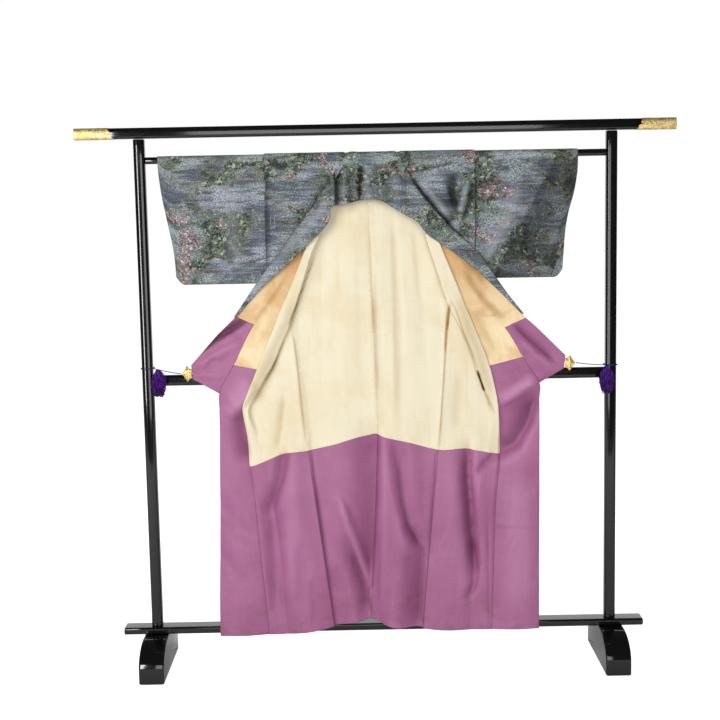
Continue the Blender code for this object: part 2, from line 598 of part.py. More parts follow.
def make_body():
    for side in (LEFT, RIGHT):
        word = SIDE_NAMES[side]
        half = body_grid(side)
        collar = with_collar(side, half)
        back = back_grid(side, half)
        top, back_top = len(half[0]) - 1, len(back[0]) - 1
        lining_top = SEAM_TOP_ROW[side] + 1 + len(BACK_SPREAD)
        for name, grid, columns, hem_lining, silk_top, inner_top, finish in (
                ("back", back, (0, SIDE_SEAM), HEM_LINING_ROW, back_top, lining_top, "cream_lining"),
                ("front", half, (SIDE_SEAM, OVERLAP_SEAM), HEM_LINING_ROW, top, top, "cream_lining"),
                ("overlap", half, (OVERLAP_SEAM, FRONT_EDGE), OVERLAP_HEM_LINING_ROW, top, top, "aged_lining"),
                ("collar", collar, (0, COLLAR_STEPS), COLLAR_HEM_LINING_ROW - COLLAR_ROW,
                 top - COLLAR_ROW, top - COLLAR_ROW, "aged_lining")):
            piece(f"{name}_{word}", "patterned_silk", grid, (0, silk_top), columns, SILK_SIDE)
            piece(f"hem_lining_{name}_{word}", "mauve_hem_lining", grid, (0, hem_lining), columns, LINING_SIDE)
            piece(f"lining_{name}_{word}", finish, grid, (hem_lining, inner_top), columns, LINING_SIDE)


# ---------------------------------------------------------------- collar, shoulders and sleeves
def ruled_grid(first, second, steps, swell=0.0):
    """A grid of straight rows between two lines of points, swelling forward between them."""
    t = np.linspace(0.0, 1.0, steps + 1)[None, :, None]
    grid = first[:, None, :] * (1 - t) + second[:, None, :] * t
    grid[..., 1] -= swell * np.sin(math.pi * t[..., 0])
    return grid


def make_over_collar():
    value = {name: column(OVER_COLLAR, OVER_COLUMNS, name) for name in OVER_COLUMNS}
    sewn = np.stack([value["sewn_x"], -value["sewn_forward"], value["sewn_z"]], -1)
    free = np.stack([value["free_x"], -value["free_forward"], value["free_z"]], -1)
    middle = ruled_grid(sewn, free, OVER_COLLAR_STEPS, swell=0.002)
    cloth_wall("over_collar", "patterned_silk", middle, normals_of(middle), COLLAR_SIDE)


def make_shoulders():
    value = {name: column(SHOULDER, SHOULDER_COLUMNS, name) for name in SHOULDER_COLUMNS}
    for side in (LEFT, RIGHT):
        word = SIDE_NAMES[side]
        inner = np.stack([side * value[word + "_inner"], -value["forward"], value["z"]], -1)
        arm = np.stack([side * value[word + "_arm"], -value["forward"], value["z"]], -1)
        middle = ruled_grid(inner, arm, SHOULDER_STEPS, swell=0.001)
        normals = normals_of(middle)
        cloth_wall("front_shoulder_" + word, "patterned_silk", middle,
                   normals * -np.sign(normals[3, 2, 1]), SILK_SIDE)


def sleeve_ring(side, t):
    """One ring of a sleeve, round the rod and the hanging front and back walls, at share t of the
    way from the armhole to the cuff. Heights follow the ring; x follows the sleeve's outline."""
    corner = SLEEVE_CORNER * max(0.0, (t - 0.9) / 0.1) ** 2
    bottom = SLEEVE_BOTTOM[side] + corner
    wall = np.linspace(0.0, 1.0, SLEEVE_WALL_STEPS + 1)
    z_wall = ROD_HEIGHT + (bottom + SLEEVE_HEM_ROUND - ROD_HEIGHT) * wall
    depth = OVER_ROD + (SLEEVE_HEM_ROUND - OVER_ROD) * wall + SLEEVE_SWELL * np.sin(math.pi * wall)
    closing = np.clip((t - 0.86) / 0.14, 0, 1) * np.clip((ROD_HEIGHT - CUFF_OPENING + 0.03 - z_wall) / 0.06, 0, 1)
    depth = depth * (1 - closing) + CUFF_CLOSED * closing
    over = np.linspace(0.0, math.pi, SLEEVE_ROUND_STEPS + 1)[1:-1]
    under = np.linspace(0.0, math.pi, SLEEVE_HEM_STEPS + 1)[1:-1]
    y = np.concatenate([-depth[::-1], -OVER_ROD * np.cos(over), depth, depth[-1] * np.cos(under)])
    z = np.concatenate([z_wall[::-1], ROD_HEIGHT + OVER_ROD * np.sin(over), z_wall,
                        z_wall[-1] - SLEEVE_HEM_ROUND * np.sin(under)])
    heights = column(SLEEVE, SLEEVE_COLUMNS, "z")
    word = SIDE_NAMES[side]
    arm = np.interp(z, heights, column(SLEEVE, SLEEVE_COLUMNS, word + "_arm"))
    cuff = np.interp(z, heights, column(SLEEVE, SLEEVE_COLUMNS, word + "_cuff"))
    return np.stack([side * (arm + (cuff - arm) * t), y, z], -1)


def make_sleeves():
    shares = 1.0 - (1.0 - np.linspace(0.0, 1.0, SLEEVE_STATIONS)) ** 1.5
    for side in (LEFT, RIGHT):
        middle = np.array([sleeve_ring(side, t) for t in shares])
        along = np.gradient(middle, axis=0)
        steps = unit(np.roll(middle, -1, axis=1) - middle)
        normals = unit(np.cross(steps + np.roll(steps, 1, axis=1), along))
        cloth_wall("sleeve_" + SIDE_NAMES[side], "patterned_silk", middle, normals, SLEEVE_SIDE,
                   closed=True)


# ---------------------------------------------------------------- the stand
def make_stand():
    cap_inner = RAIL_LENGTH / 2 - CAP_LENGTH
    rail_z = RAIL_TOP - RAIL_HEIGHT / 2
    box("top_rail", "black_lacquer", (2 * cap_inner, RAIL_DEPTH, RAIL_HEIGHT), (0, 0, rail_z), 0.006)
    for side in (LEFT, RIGHT):
        word = SIDE_NAMES[side]
        box("rail_cap_" + word, "gilt", (CAP_LENGTH - GAP, RAIL_DEPTH, RAIL_HEIGHT),
            (side * (RAIL_LENGTH / 2 - (CAP_LENGTH - GAP) / 2), 0, rail_z), 0.006)
        box("post_" + word, "black_lacquer", (POST_WIDTH, POST_WIDTH, POST_HEAD - POST_FOOT),
            (side * POST_X, 0, (POST_HEAD + POST_FOOT) / 2))
        make_foot("foot_" + word, side)
    span = 2 * (POST_INNER - GAP)
    box("mid_rail", "black_lacquer", (span, MID_RAIL_DEPTH, MID_RAIL_HEIGHT), (0, 0, MID_RAIL_CENTRE))
    box("low_board", "black_lacquer", (BOARD_LENGTH, BOARD_DEPTH, BOARD_TOP - BOARD_BOTTOM),
        (0, 0, (BOARD_TOP + BOARD_BOTTOM) / 2), 0.003)
    rod = bpy.data.meshes.new("hanging_rod")
    work = bmesh.new()
    bmesh.ops.create_cone(work, cap_ends=True, segments=24, radius1=ROD_RADIUS, radius2=ROD_RADIUS,
                          depth=span)
    work.to_mesh(rod)
    work.free()
    obj = place("hanging_rod", rod, "black_lacquer")
    obj.rotation_euler = (0, math.pi / 2, 0)
    obj.location = (0, 0, ROD_HEIGHT)


def foot_outline():
    """Half the foot's side view, from the toe up to the flat top: (forward, height)."""
    toe, flat = FOOT_LENGTH / 2, FOOT_FLAT_TOP / 2
    rise = BOARD_BOTTOM - GAP - FOOT_TOE_HEIGHT
    angles = np.linspace(math.pi / 2, 0.0, 9)
    slope = [(toe - (toe - flat) * (1 - math.sin(a)), FOOT_TOE_HEIGHT + rise * math.cos(a))
             for a in angles]
    return [(toe, 0.0)] + slope


def make_foot(name, side):
    half = foot_outline()
    points = half + [(-f, z) for f, z in reversed(half)]
    curve = bpy.data.curves.new(name, "CURVE")
    curve.dimensions = "2D"
    curve.fill_mode = "BOTH"
    curve.extrude = FOOT_WIDTH / 2
    spline = curve.splines.new("POLY")
    spline.points.add(len(points) - 1)
    for point, (forward, z) in zip(spline.points, points):
        point.co = (forward, z, 0, 1)
    spline.use_cyclic_u = True
    obj = place(name, curve, "black_lacquer")
    obj.rotation_euler = (math.pi / 2, 0, math.pi / 2)
    obj.location = (side * POST_X, 0, 0)
    as_mesh(obj)


# ---------------------------------------------------------------- clips, cords and tassels
def make_clip(side):
    """A leaf of metal, slit from its inner edge so that it grips the collar's corner."""
    name = "clip_" + SIDE_NAMES[side]
    inner = CLIP_OUTWARD[side] - CLIP_GRIP
    half = [(t, math.sin(math.pi * t ** 0.8) ** 0.8) for t in np.linspace(0.12, 1.0, 7)[:-1]]
    outline = ([(inner + t * CLIP_WIDTH, h * CLIP_HEIGHT / 2) for t, h in half]
               + [(inner + CLIP_WIDTH, 0.0)]
               + [(inner + t * CLIP_WIDTH, -h * CLIP_HEIGHT / 2) for t, h in reversed(half)])
    curve = bpy.data.curves.new(name, "CURVE")
    curve.dimensions = "2D"
    curve.fill_mode = "BOTH"
    curve.extrude = CLIP_DEPTH / 2
    spline = curve.splines.new("POLY")
    spline.points.add(len(outline) - 1)
    for point, (outward, z) in zip(spline.points, outline):
        point.co = (side * outward, z, 0, 1)
    spline.use_cyclic_u = True
    obj = place(name, curve, "gilt")
    obj.rotation_euler = (math.pi / 2, 0, 0)
    obj.location = (0, -CLIP_FORWARD, CLIP_MIDDLE[side])
    solid = as_mesh(obj)
    slot_end = CLIP_OUTWARD[side] + 0.0035
    slot = box("slot", "gilt", (0.06, CLIP_SLOT, CLIP_HEIGHT + 0.02),
               (side * (slot_end - 0.03), -CLIP_FORWARD, CLIP_MIDDLE[side]), 0.0002)
    cut(solid, slot)
    return inner + CLIP_WIDTH


def tube(name, finish, points, radius, cyclic=False):
    curve = bpy.data.curves.new(name, "CURVE")
    curve.dimensions = "3D"
    curve.bevel_depth = radius
    curve.bevel_resolution = 2
    curve.use_fill_caps = not cyclic
    spline = curve.splines.new("POLY")
    spline.points.add(len(points) - 1)
    for point, place_at in zip(spline.points, points):
        point.co = (*place_at, 1)
    spline.use_cyclic_u = cyclic
    return place(name, curve, finish)


def loop_points(side):
    """A rounded square round the post, a cord's radius clear of it."""
    reach = POST_WIDTH / 2 + GAP + CORD_RADIUS
    corner = 0.004
    points = []
    for quarter in range(4):
        start = quarter * math.pi / 2
        cx = math.copysign(reach - corner, math.cos(start + math.pi / 4))
        cy = math.copysign(reach - corner, math.sin(start + math.pi / 4))
        for step in range(4):
            angle = start + step * math.pi / 6
            points.append((side * POST_X + cx + corner * math.cos(angle),
                           cy + corner * math.sin(angle), LOOP_HEIGHT[side]))
    return points


def make_ties():
    for side in (LEFT, RIGHT):
        word = SIDE_NAMES[side]
        tip = make_clip(side)
        tube("cord_loop_" + word, "violet_tassel", loop_points(side), CORD_RADIUS, cyclic=True)
        start = (side * (tip + 2 * GAP), -CLIP_FORWARD, CLIP_MIDDLE[side])
        reach = POST_WIDTH / 2 + GAP + CORD_RADIUS
        end = (side * (POST_X - reach - CORD_RADIUS - 2 * GAP), -reach + 0.004, LOOP_HEIGHT[side] + 0.0004)
        t = np.linspace(0, 1, 8)
        sag = 0.0015 * np.sin(math.pi * t)
        route = [(start[0] + (end[0] - start[0]) * s, start[1] + (end[1] - start[1]) * s,
                  start[2] + (end[2] - start[2]) * s - d) for s, d in zip(t, sag)]
        tube("tie_cord_" + word, "violet_tassel", route, CORD_RADIUS)
        make_tassel(side)


def make_tassel(side):
    """A head with its strands spread below it, fused to it at their roots."""
    name = "tassel_" + SIDE_NAMES[side]
    loop_front = POST_WIDTH / 2 + 2 * GAP + 2 * CORD_RADIUS
    head = (side * TASSEL_OUTWARD[side], -(loop_front + TASSEL_HEAD), LOOP_HEIGHT[side] - TASSEL_DROP)
    mesh = bpy.data.meshes.new(name)
    work = bmesh.new()
    bmesh.ops.create_uvsphere(work, u_segments=12, v_segments=8, radius=TASSEL_HEAD)
    work.to_mesh(mesh)
    work.free()
    obj = place(name, mesh, "violet_tassel")
    obj.location = head
    strands = bpy.data.meshes.new(name + "_strands")
    vertices, faces = [], []
    for number in range(STRANDS):
        add_strand(vertices, faces, number)
    strands.from_pydata(vertices, [], faces)
    fringe = place(name + "_strands", strands, "violet_tassel", smooth=False)
    fringe.location = head
    cut(obj, fringe, "UNION")


def add_strand(vertices, faces, number):
    """A thin three-sided strand that leaves the head and falls outwards, then straight down."""
    ring = math.sqrt((number + 0.5) / STRANDS)
    angle = number * GOLDEN_ANGLE
    fall = TASSEL_LENGTH * (1.0 - 0.06 * ring * (1 + math.sin(5 * angle)))
    rows = ((0.34, -0.002), (0.55, -0.012), (0.92, -0.035), (1.0, -fall))
    first = len(vertices)
    for spread, z in rows:
        x = ring * spread * TASSEL_SPREAD * math.cos(angle)
        y = ring * spread * TASSEL_SPREAD * TASSEL_FLATTEN * math.sin(angle)
        for corner in range(3):
            turn = angle + corner * 2 * math.pi / 3
            vertices.append((x + STRAND_RADIUS * math.cos(turn), y + STRAND_RADIUS * math.sin(turn), z))
    for row in range(len(rows) - 1):
        for corner in range(3):
            a, b = first + 3 * row + corner, first + 3 * row + (corner + 1) % 3
            faces.append((a, a + 3, b + 3, b))
    faces.append((first, first + 1, first + 2))
    last = first + 3 * (len(rows) - 1)
    faces.append((last + 2, last + 1, last))


def main():
    clear_scene()
    make_collection(COLLECTION)
    for name in FINISHES:
        make_finish(name)
    make_stand()
    make_body()
    make_over_collar()
    make_shoulders()
    make_sleeves()
    make_ties()


main()
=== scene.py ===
# %% [markdown]
# # A silk kimono hung open on a lacquered stand
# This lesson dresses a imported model: the stand, the cloth walls, the clips and the cords are already
# there as plain solids. Each cell adds one layer of looks. Cloth is worked out as a grid of points by
# two parameters, across and along the cloth, and is then given two faces. Metres, +Z up, -Y to the
# viewer. "Outward" is the distance from the middle plane on either side, and "forward" is -Y.

# %% Load the frame
import math

import bpy
import numpy as np
from mathutils import Matrix, Vector


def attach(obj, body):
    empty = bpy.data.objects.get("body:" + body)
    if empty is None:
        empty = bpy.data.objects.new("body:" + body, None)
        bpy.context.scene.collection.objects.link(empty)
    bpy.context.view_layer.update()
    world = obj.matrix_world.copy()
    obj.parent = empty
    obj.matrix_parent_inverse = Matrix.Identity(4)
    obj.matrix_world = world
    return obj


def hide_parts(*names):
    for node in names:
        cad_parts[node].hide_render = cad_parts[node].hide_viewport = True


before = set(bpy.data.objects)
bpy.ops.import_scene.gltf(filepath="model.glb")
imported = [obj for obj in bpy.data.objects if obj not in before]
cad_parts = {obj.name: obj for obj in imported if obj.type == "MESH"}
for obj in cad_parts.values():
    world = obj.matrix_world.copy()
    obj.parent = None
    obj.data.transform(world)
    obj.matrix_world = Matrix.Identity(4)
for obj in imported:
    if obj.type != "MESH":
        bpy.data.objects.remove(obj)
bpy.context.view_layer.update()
print("nodes to dress:", len(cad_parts))

# %% [markdown]
# ## Camera
# A long lens a few metres back keeps the stand's posts nearly parallel. The camera looks slightly down
# and is turned a degree about its own axis, as a hand-held camera is. Building its matrix from three
# angles says that directly, where Euler values would have to be nudged until they look right.

# %% Camera
CAMERA_PLACE = Vector((-0.066, -4.137, 1.524))
LOOK_DOWN, TURN, ROLL = math.radians(7.125), math.radians(0.07), math.radians(-1.093)
LENS, SENSOR = 65.0, 36.0


def camera_matrix(place, down, turn, roll):
    """Columns right, up and back: forward from two angles, then right and up turned by the roll."""
    forward = Vector((math.sin(turn) * math.cos(down), math.cos(turn) * math.cos(down), -math.sin(down)))
    right = Vector((math.cos(turn), -math.sin(turn), 0.0))
    up = right.cross(forward)
    rolled_right = right * math.cos(roll) + up * math.sin(roll)
    rolled_up = up * math.cos(roll) - right * math.sin(roll)
    axes = Matrix((rolled_right, rolled_up, -forward)).transposed().to_4x4()
    return Matrix.Translation(place) @ axes


camera_data = bpy.data.cameras.new("camera")
camera_data.lens, camera_data.sensor_width = LENS, SENSOR
camera = bpy.data.objects.new("camera", camera_data)
bpy.context.scene.collection.objects.link(camera)
camera.matrix_world = camera_matrix(CAMERA_PLACE, LOOK_DOWN, TURN, ROLL)
bpy.context.scene.camera = camera
print("camera lens:", camera_data.lens, "mm")

# %% [markdown]
# ## Meshes from grids
# Every new surface starts as an array of points, rows by columns. One helper turns it into a mesh, one
# gives it a second face so that it is a closed wall, and both lay a UV map in metres of cloth, so that
# weave and pattern follow the cloth and not the room. A list of faces typed by hand could not be
# changed afterwards, and a formula can.

# %% Curves, normals and cloth lengths
LEFT, RIGHT = -1.0, 1.0
WORDS = {LEFT: "left", RIGHT: "right"}


def unit(vectors):
    """Each vector divided by its own length."""
    return vectors / np.maximum(np.linalg.norm(vectors, axis=-1, keepdims=True), 1e-12)


def eased(share):
    """A share from 0 to 1 that starts and stops gently: 3 * share^2 - 2 * share^3."""
    return share * share * (3.0 - 2.0 * share)


def through(position, knots, values):
    """A smooth curve through a table: cubic pieces whose slopes at the knots are the table's own."""
    knots, values = np.asarray(knots, float), np.asarray(values, float)
    slopes = np.gradient(values, knots)
    i = np.clip(np.searchsorted(knots, position, side="right") - 1, 0, len(knots) - 2)
    span = knots[i + 1] - knots[i]
    t = np.clip((position - knots[i]) / span, 0.0, 1.0)
    rise = eased(t)
    return (values[i] * (1.0 - rise) + values[i + 1] * rise
            + span * slopes[i] * t * (1.0 - t) ** 2 - span * slopes[i + 1] * t * t * (1.0 - t))


def normals_of(grid, ring=False):
    """Unit normals: the cross product of the directions across and along the grid at each point."""
    along = np.gradient(grid, axis=0)
    if ring:
        steps = unit(np.roll(grid, -1, axis=1) - grid)
        across = steps + np.roll(steps, 1, axis=1)
    else:
        steps = unit(np.diff(grid, axis=1))
        across = np.concatenate([steps[:, :1], steps[:, :-1] + steps[:, 1:], steps[:, -1:]], axis=1)
    return unit(np.cross(across, along))


def walked(points, axis=0):
    """Metres from the first point to each point along one axis of a grid, its steps summed."""
    steps = np.diff(points, axis=axis, prepend=np.take(points, [0], axis))
    return np.cumsum(np.linalg.norm(steps, axis=-1), axis=axis)


def cloth_uv(grid):
    """Metres of cloth: across, the summed steps along each row; along, those of the middle column."""
    across, along = walked(grid, 1), walked(grid[:, grid.shape[1] // 2])
    return np.stack([across, np.broadcast_to(along[:, None], across.shape)], -1)


# %% Grids into meshes
def grid_faces(index, ring=False):
    """Quads between neighbouring point numbers of a grid. A ring's last column joins its first."""
    if ring:
        index = np.concatenate([index, index[..., :1]], axis=-1)
    corners = [index[..., :-1, :-1], index[..., :-1, 1:], index[..., 1:, 1:], index[..., 1:, :-1]]
    return np.stack(corners, -1).reshape(-1, 4)


def edge_distance(grid, ring=False):
    """Metres of cloth from each point to the piece's nearest cut edge."""
    along = walked(grid)
    nearest = np.minimum(along, along[-1:] - along)
    if not ring:
        across = walked(grid, 1)
        nearest = np.minimum(nearest, np.minimum(across, across[:, -1:] - across))
    return nearest


def smoothed(values, reach):
    """A grid's values averaged over a square of neighbours, its borders repeated outwards."""
    for axis in (0, 1):
        pad = [(reach + 1, reach) if axis == k else (0, 0) for k in (0, 1)]
        total = np.cumsum(np.pad(values, pad, mode="edge"), axis=axis)
        wide, size = 2 * reach + 1, values.shape[axis]
        last, first = (np.take(total, np.arange(size) + shift, axis) for shift in (wide, 0))
        values = (last - first) / wide
    return values


SHARP_ANGLE = math.radians(60.0)


def add_mesh(name, points, faces, finishes, uv=None, which=None, marks=None):
    """An object at the origin from whole arrays of points and faces, with a cloth UV map and marks."""
    mesh = bpy.data.meshes.new(name)
    mesh.from_pydata(points.reshape(-1, 3).tolist(), [], sum((part.tolist() for part in faces), []))
    for finish in finishes:
        mesh.materials.append(finish)
    if which is not None:
        mesh.polygons.foreach_set("material_index", np.asarray(which, np.int32))
    if uv is not None:
        corners = np.empty(len(mesh.loops), np.int32)
        mesh.loops.foreach_get("vertex_index", corners)
        layer = mesh.uv_layers.new(name="cloth")
        layer.data.foreach_set("uv", uv.reshape(-1, 2)[corners].ravel().astype(np.float32))
    for label, values in (marks or {}).items():
        layer = mesh.attributes.new(label, "FLOAT", "POINT")
        layer.data.foreach_set("value", values.ravel().astype(np.float32))
    mesh.shade_smooth()
    mesh.set_sharp_from_angle(angle=SHARP_ANGLE)
    mesh.update()
    obj = bpy.data.objects.new(name, mesh)
    bpy.context.scene.collection.objects.link(obj)
    return obj


def declare_sheet(obj, middle, ring=False):
    """Works out the longest row and the longest column of the cut that shows, and keeps neither."""
    middle = np.concatenate([middle, middle[:, :1]], axis=1) if ring else middle
    across = np.linalg.norm(np.diff(middle, axis=1), axis=-1).sum(axis=1).max()
    along = np.linalg.norm(np.diff(middle, axis=0), axis=-1).sum(axis=0).max()


SEAM_DIP, SEAM_REACH = 0.30, 0.002
HOLLOW_DEPTH, HOLLOW_REACH = 0.007, 5


def wall(name, middle, normals, reach, finishes, uv=None, ring=False, shade_and_stain_lines=()):
    """A closed wall between two copies of a grid, moved along its normals by the two reaches.

    The far face takes the first finish and the near face the last. A ring's last column joins its
    first. Where the normals are the cross product's opposite, the grid is read the other way round,
    so that faces always point out of the wall.
    """
    uv = cloth_uv(middle) if uv is None else uv
    if np.sum(normals * normals_of(middle, ring)) < 0:
        middle, normals, uv = middle[:, ::-1], normals[:, ::-1], uv[:, ::-1]
    rows, columns = middle.shape[:2]
    count = rows * columns
    index = np.arange(count).reshape(rows, columns)
    sheet = grid_faces(index, ring)
    edge = edge_distance(middle, ring)[..., None]
    low, high = min(reach), max(reach)
    dip = SEAM_DIP * (high - low) * np.exp(-(edge / SEAM_REACH) ** 2)
    near, far = (middle + normals * np.clip(r, low + dip, high - dip) for r in reach)
    # Marks for the materials: how far the cloth lies behind its neighbours, painted as shade in fold hollows
    # and as highlight where it stands forward, and the strengths of the listed lines, painted as shade and
    # highlight, and on some lines as stain.
    behind = middle[..., 1] - smoothed(middle[..., 1], HOLLOW_REACH)
    behind = np.clip(behind / HOLLOW_DEPTH, -1.0, 1.0)
    facing = -np.sign(normals[..., 1])
    shade_and_stain = edge[..., 0] * 0.0 + creased(middle[..., 0], middle[..., 2], shade_and_stain_lines)
    marks = {"edge": np.concatenate([edge.ravel()] * 2),
             "hollow": np.concatenate([(-facing * behind).ravel(), (facing * behind).ravel()]),
             "shade_and_stain": np.concatenate([shade_and_stain.ravel()] * 2)}
    if ring:
        cuts = [np.append(index[0], index[0, 0]), np.append(index[-1], index[-1, 0])[::-1]]
    else:
        cuts = [index[0], index[-1, ::-1], index[::-1, 0], index[:, -1]]
    rims = [np.stack([cut[:-1], cut[1:], cut[1:] + count, cut[:-1] + count], -1) for cut in cuts]
    faces = [sheet[:, ::-1], sheet + count] + rims
    which = np.zeros(sum(len(part) for part in faces), np.int32)
    which[:len(sheet)] = len(finishes) - 1
    points = np.concatenate([near.reshape(-1, 3), far.reshape(-1, 3)])
    uv = np.concatenate([uv.reshape(-1, 2)] * 2)
    return add_mesh(name, points, faces, finishes, uv, which, marks)


def carried(path, outline, reference=(0.0, 0.0, 1.0), closed=False):
    """Points of a profile carried along a path.

    The path is rows of points; the outline gives, for each row, pairs (sideways, up) round the
    profile. Sideways is square to the path and to the reference direction, and up to both of those.
    """
    if closed:
        heading = unit(np.roll(path, -1, axis=0) - np.roll(path, 1, axis=0))
    else:
        heading = unit(np.gradient(path, axis=0))
    sideways = unit(np.cross(heading, np.asarray(reference)))
    up = np.cross(sideways, heading)
    return path[:, None] + sideways[:, None] * outline[..., :1] + up[:, None] * outline[..., 1:]


def tube_mesh(name, rings, finishes, closed=False):
    """A closed tube through rings of points: joined end to end, or with a fan of faces on each end."""
    rows, columns = rings.shape[:2]
    count = rows * columns
    index = np.arange(count).reshape(rows, columns)
    points, uv = rings.reshape(-1, 3), cloth_uv(rings).reshape(-1, 2)
    if closed:
        return add_mesh(name, points, [grid_faces(np.append(index, index[:1], axis=0), True)], finishes, uv)
    first, last = index[0], index[-1]
    fans = [np.stack([np.roll(first, -1), first, np.full(columns, count)], -1),
            np.stack([last, np.roll(last, -1), np.full(columns, count + 1)], -1)]
    points = np.concatenate([points, rings[[0, -1]].mean(axis=1)])
    uv = np.concatenate([uv, uv[[0, -1]]])
    return add_mesh(name, points, [grid_faces(index, True)] + fans, finishes, uv)


def dress(obj, node):
    """The piece rides on the one body and stands for a plain node, which is hidden."""
    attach(obj, "root")
    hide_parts(node)
    return obj


# %% [markdown]
# ## Node helpers and shared effects
# A material is a small graph. Small helpers keep each graph to a few readable lines: they add a node
# with its inputs, do arithmetic and mix colours. Weave, mottling and seam lines show on more than one
# cloth, so each is a node group that is built once and then placed with its own values.

# %% Node helpers
def fill(tree, socket, value):
    """Set an input to a value, or link it where the value is another node's socket."""
    if isinstance(value, bpy.types.NodeSocket):
        tree.links.new(value, socket)
    else:
        socket.default_value = value


def put(tree, kind, inputs=None, **settings):
    """Add a shader node with its settings, and fill its inputs by name or number."""
    node = tree.nodes.new("ShaderNode" + kind)
    for key, value in settings.items():
        setattr(node, key, value)
    for key, value in (inputs or {}).items():
        fill(tree, node.inputs[key], value)
    return node


def calc(tree, operation, first, second=0.0, third=0.0, clamp=False):
    """One arithmetic step on values, as a socket."""
    node = put(tree, "Math", {0: first, 1: second, 2: third}, operation=operation, use_clamp=clamp)
    return node.outputs[0]


def times(tree, first, second):
    """The product of two values."""
    return calc(tree, "MULTIPLY", first, second)


def between(tree, value, low, high, to_low=0.0, to_high=1.0):
    """A value's place between two limits, eased at both ends."""
    node = put(tree, "MapRange", {"Value": value, "From Min": low, "From Max": high,
                                  "To Min": to_low, "To Max": to_high}, interpolation_type="SMOOTHSTEP")
    return node.outputs["Result"]


def tint(tree, share, first, second, mode="MIX"):
    """Two colours mixed by a share, each a socket or a colour."""
    node = put(tree, "Mix", {0: share, 6: first, 7: second}, data_type="RGBA", blend_type=mode,
               clamp_factor=True)
    return node.outputs[2]


def lay(tree, base, mask, share, over, mode="MIX"):
    """A second colour laid over a base where a mask lets it, at a share of its strength."""
    return tint(tree, times(tree, mask, share), base, over, mode)


def colour(red, green, blue):
    """A colour given as it looks on a screen, from 0 to 255, turned into light."""
    part = np.array([red, green, blue]) / 255.0
    light = np.where(part <= 0.04045, part / 12.92, ((part + 0.055) / 1.055) ** 2.4)
    return (*light.tolist(), 1.0)


def noise(tree, vector, scale, detail=2.0, roughness=0.5, distortion=0.0, output="Fac"):
    """Soft noise: a value from 0 to 1, or a colour. A scale for each axis stretches it."""
    if isinstance(scale, tuple):
        stretched = put(tree, "Mapping", {"Vector": vector, "Scale": (*scale, 1.0)[:3]})
        vector, scale = stretched.outputs[0], 1.0
    node = put(tree, "TexNoise", {"Vector": vector, "Scale": scale, "Detail": detail,
                                  "Roughness": roughness, "Distortion": distortion})
    return node.outputs[output]


def bumps(tree, *layers):
    """Bumps laid one on another: height, strength and distance for each."""
    below = {}
    for height, strength, distance in layers:
        node = put(tree, "Bump", {"Height": height, "Strength": strength, "Distance": distance, **below})
        below = {"Normal": node.outputs[0]}
    return below["Normal"]


def new_group(name, inputs, outputs):
    """An empty node group with named inputs and outputs, and its two end nodes."""
    group = bpy.data.node_groups.new(name, "ShaderNodeTree")
    for label, kind, default in inputs:
        socket = group.interface.new_socket(label, in_out="INPUT", socket_type=kind)
        if default is not None:
            socket.default_value = default
    for label, kind in outputs:
        group.interface.new_socket(label, in_out="OUTPUT", socket_type=kind)
    return group, group.nodes.new("NodeGroupInput").outputs, group.nodes.new("NodeGroupOutput").inputs


def use(tree, group, inputs):
    """Place a node group in a material and return its outputs."""
    return put(tree, "Group", inputs, node_tree=group).outputs


def new_finish(name):
    """A material with a Principled shader, and its tree and shader to work on."""
    finish = bpy.data.materials.new(name)
    finish.use_nodes = True
    return finish, finish.node_tree, finish.node_tree.nodes["Principled BSDF"]


def feed(tree, shader, **sockets):
    """Fill the shader's inputs by name, with an underscore for a space."""
    for key, value in sockets.items():
        fill(tree, shader.inputs[key.replace("_", " ")], value)


# %% Weave group
FLOAT, VECTOR = "NodeSocketFloat", "NodeSocketVector"
weave, into, out = new_group("silk weave", [("Cloth", VECTOR, None), ("Thread", FLOAT, 0.0006),
                                            ("Slub", FLOAT, 0.5)],
                             [("Height", FLOAT), ("Shade", FLOAT)])
parts = put(weave, "SeparateXYZ", {"Vector": into["Cloth"]}).outputs
turns = calc(weave, "DIVIDE", 2 * math.pi, into["Thread"])
warp = calc(weave, "SINE", times(weave, parts["X"], turns))
weft = calc(weave, "SINE", times(weave, parts["Y"], times(weave, turns, 0.8)))
crossing = calc(weave, "MULTIPLY_ADD", times(weave, warp, weft), 0.5, 0.5)
slubs = noise(weave, into["Cloth"], (60.0, 1100.0))
uneven = times(weave, calc(weave, "SUBTRACT", slubs, 0.5), into["Slub"])
weave.links.new(calc(weave, "ADD", times(weave, crossing, 0.6), uneven), out["Height"])
weave.links.new(calc(weave, "ADD", uneven, 0.5), out["Shade"])
print("group:", weave.name)

# %% Mottle group
mottle, into, out = new_group("soft mottle", [("Place", VECTOR, None), ("Size", FLOAT, 8.0),
                                              ("Low", FLOAT, 0.4), ("High", FLOAT, 0.65)],
                              [("Patches", FLOAT), ("Grain", FLOAT)])
cloud = noise(mottle, into["Place"], into["Size"], 4.0, 0.55, 0.4)
mottle.links.new(between(mottle, cloud, into["Low"], into["High"]), out["Patches"])
fine = noise(mottle, into["Place"], times(mottle, into["Size"], 14.0), 3.0)
mottle.links.new(fine, out["Grain"])
print("group:", mottle.name)

# %% Seam group
seams, into, out = new_group("seam line", [("Edge", FLOAT, 1.0), ("Cloth", VECTOR, None),
                                           ("Width", FLOAT, 0.002)],
                             [("Line", FLOAT), ("Pucker", FLOAT)])
wander = calc(seams, "MULTIPLY_ADD", noise(seams, into["Cloth"], 70.0), 0.7, 0.65)
width = times(seams, into["Width"], wander)
line = calc(seams, "SUBTRACT", 1.0, calc(seams, "DIVIDE", into["Edge"], width), clamp=True)
seams.links.new(line, out["Line"])
ruffle = noise(seams, into["Cloth"], (70.0, 90.0))
near = calc(seams, "SUBTRACT", 1.0, calc(seams, "DIVIDE", into["Edge"], 0.022), clamp=True)
seams.links.new(times(seams, ruffle, near), out["Pucker"])
print("group:", seams.name)
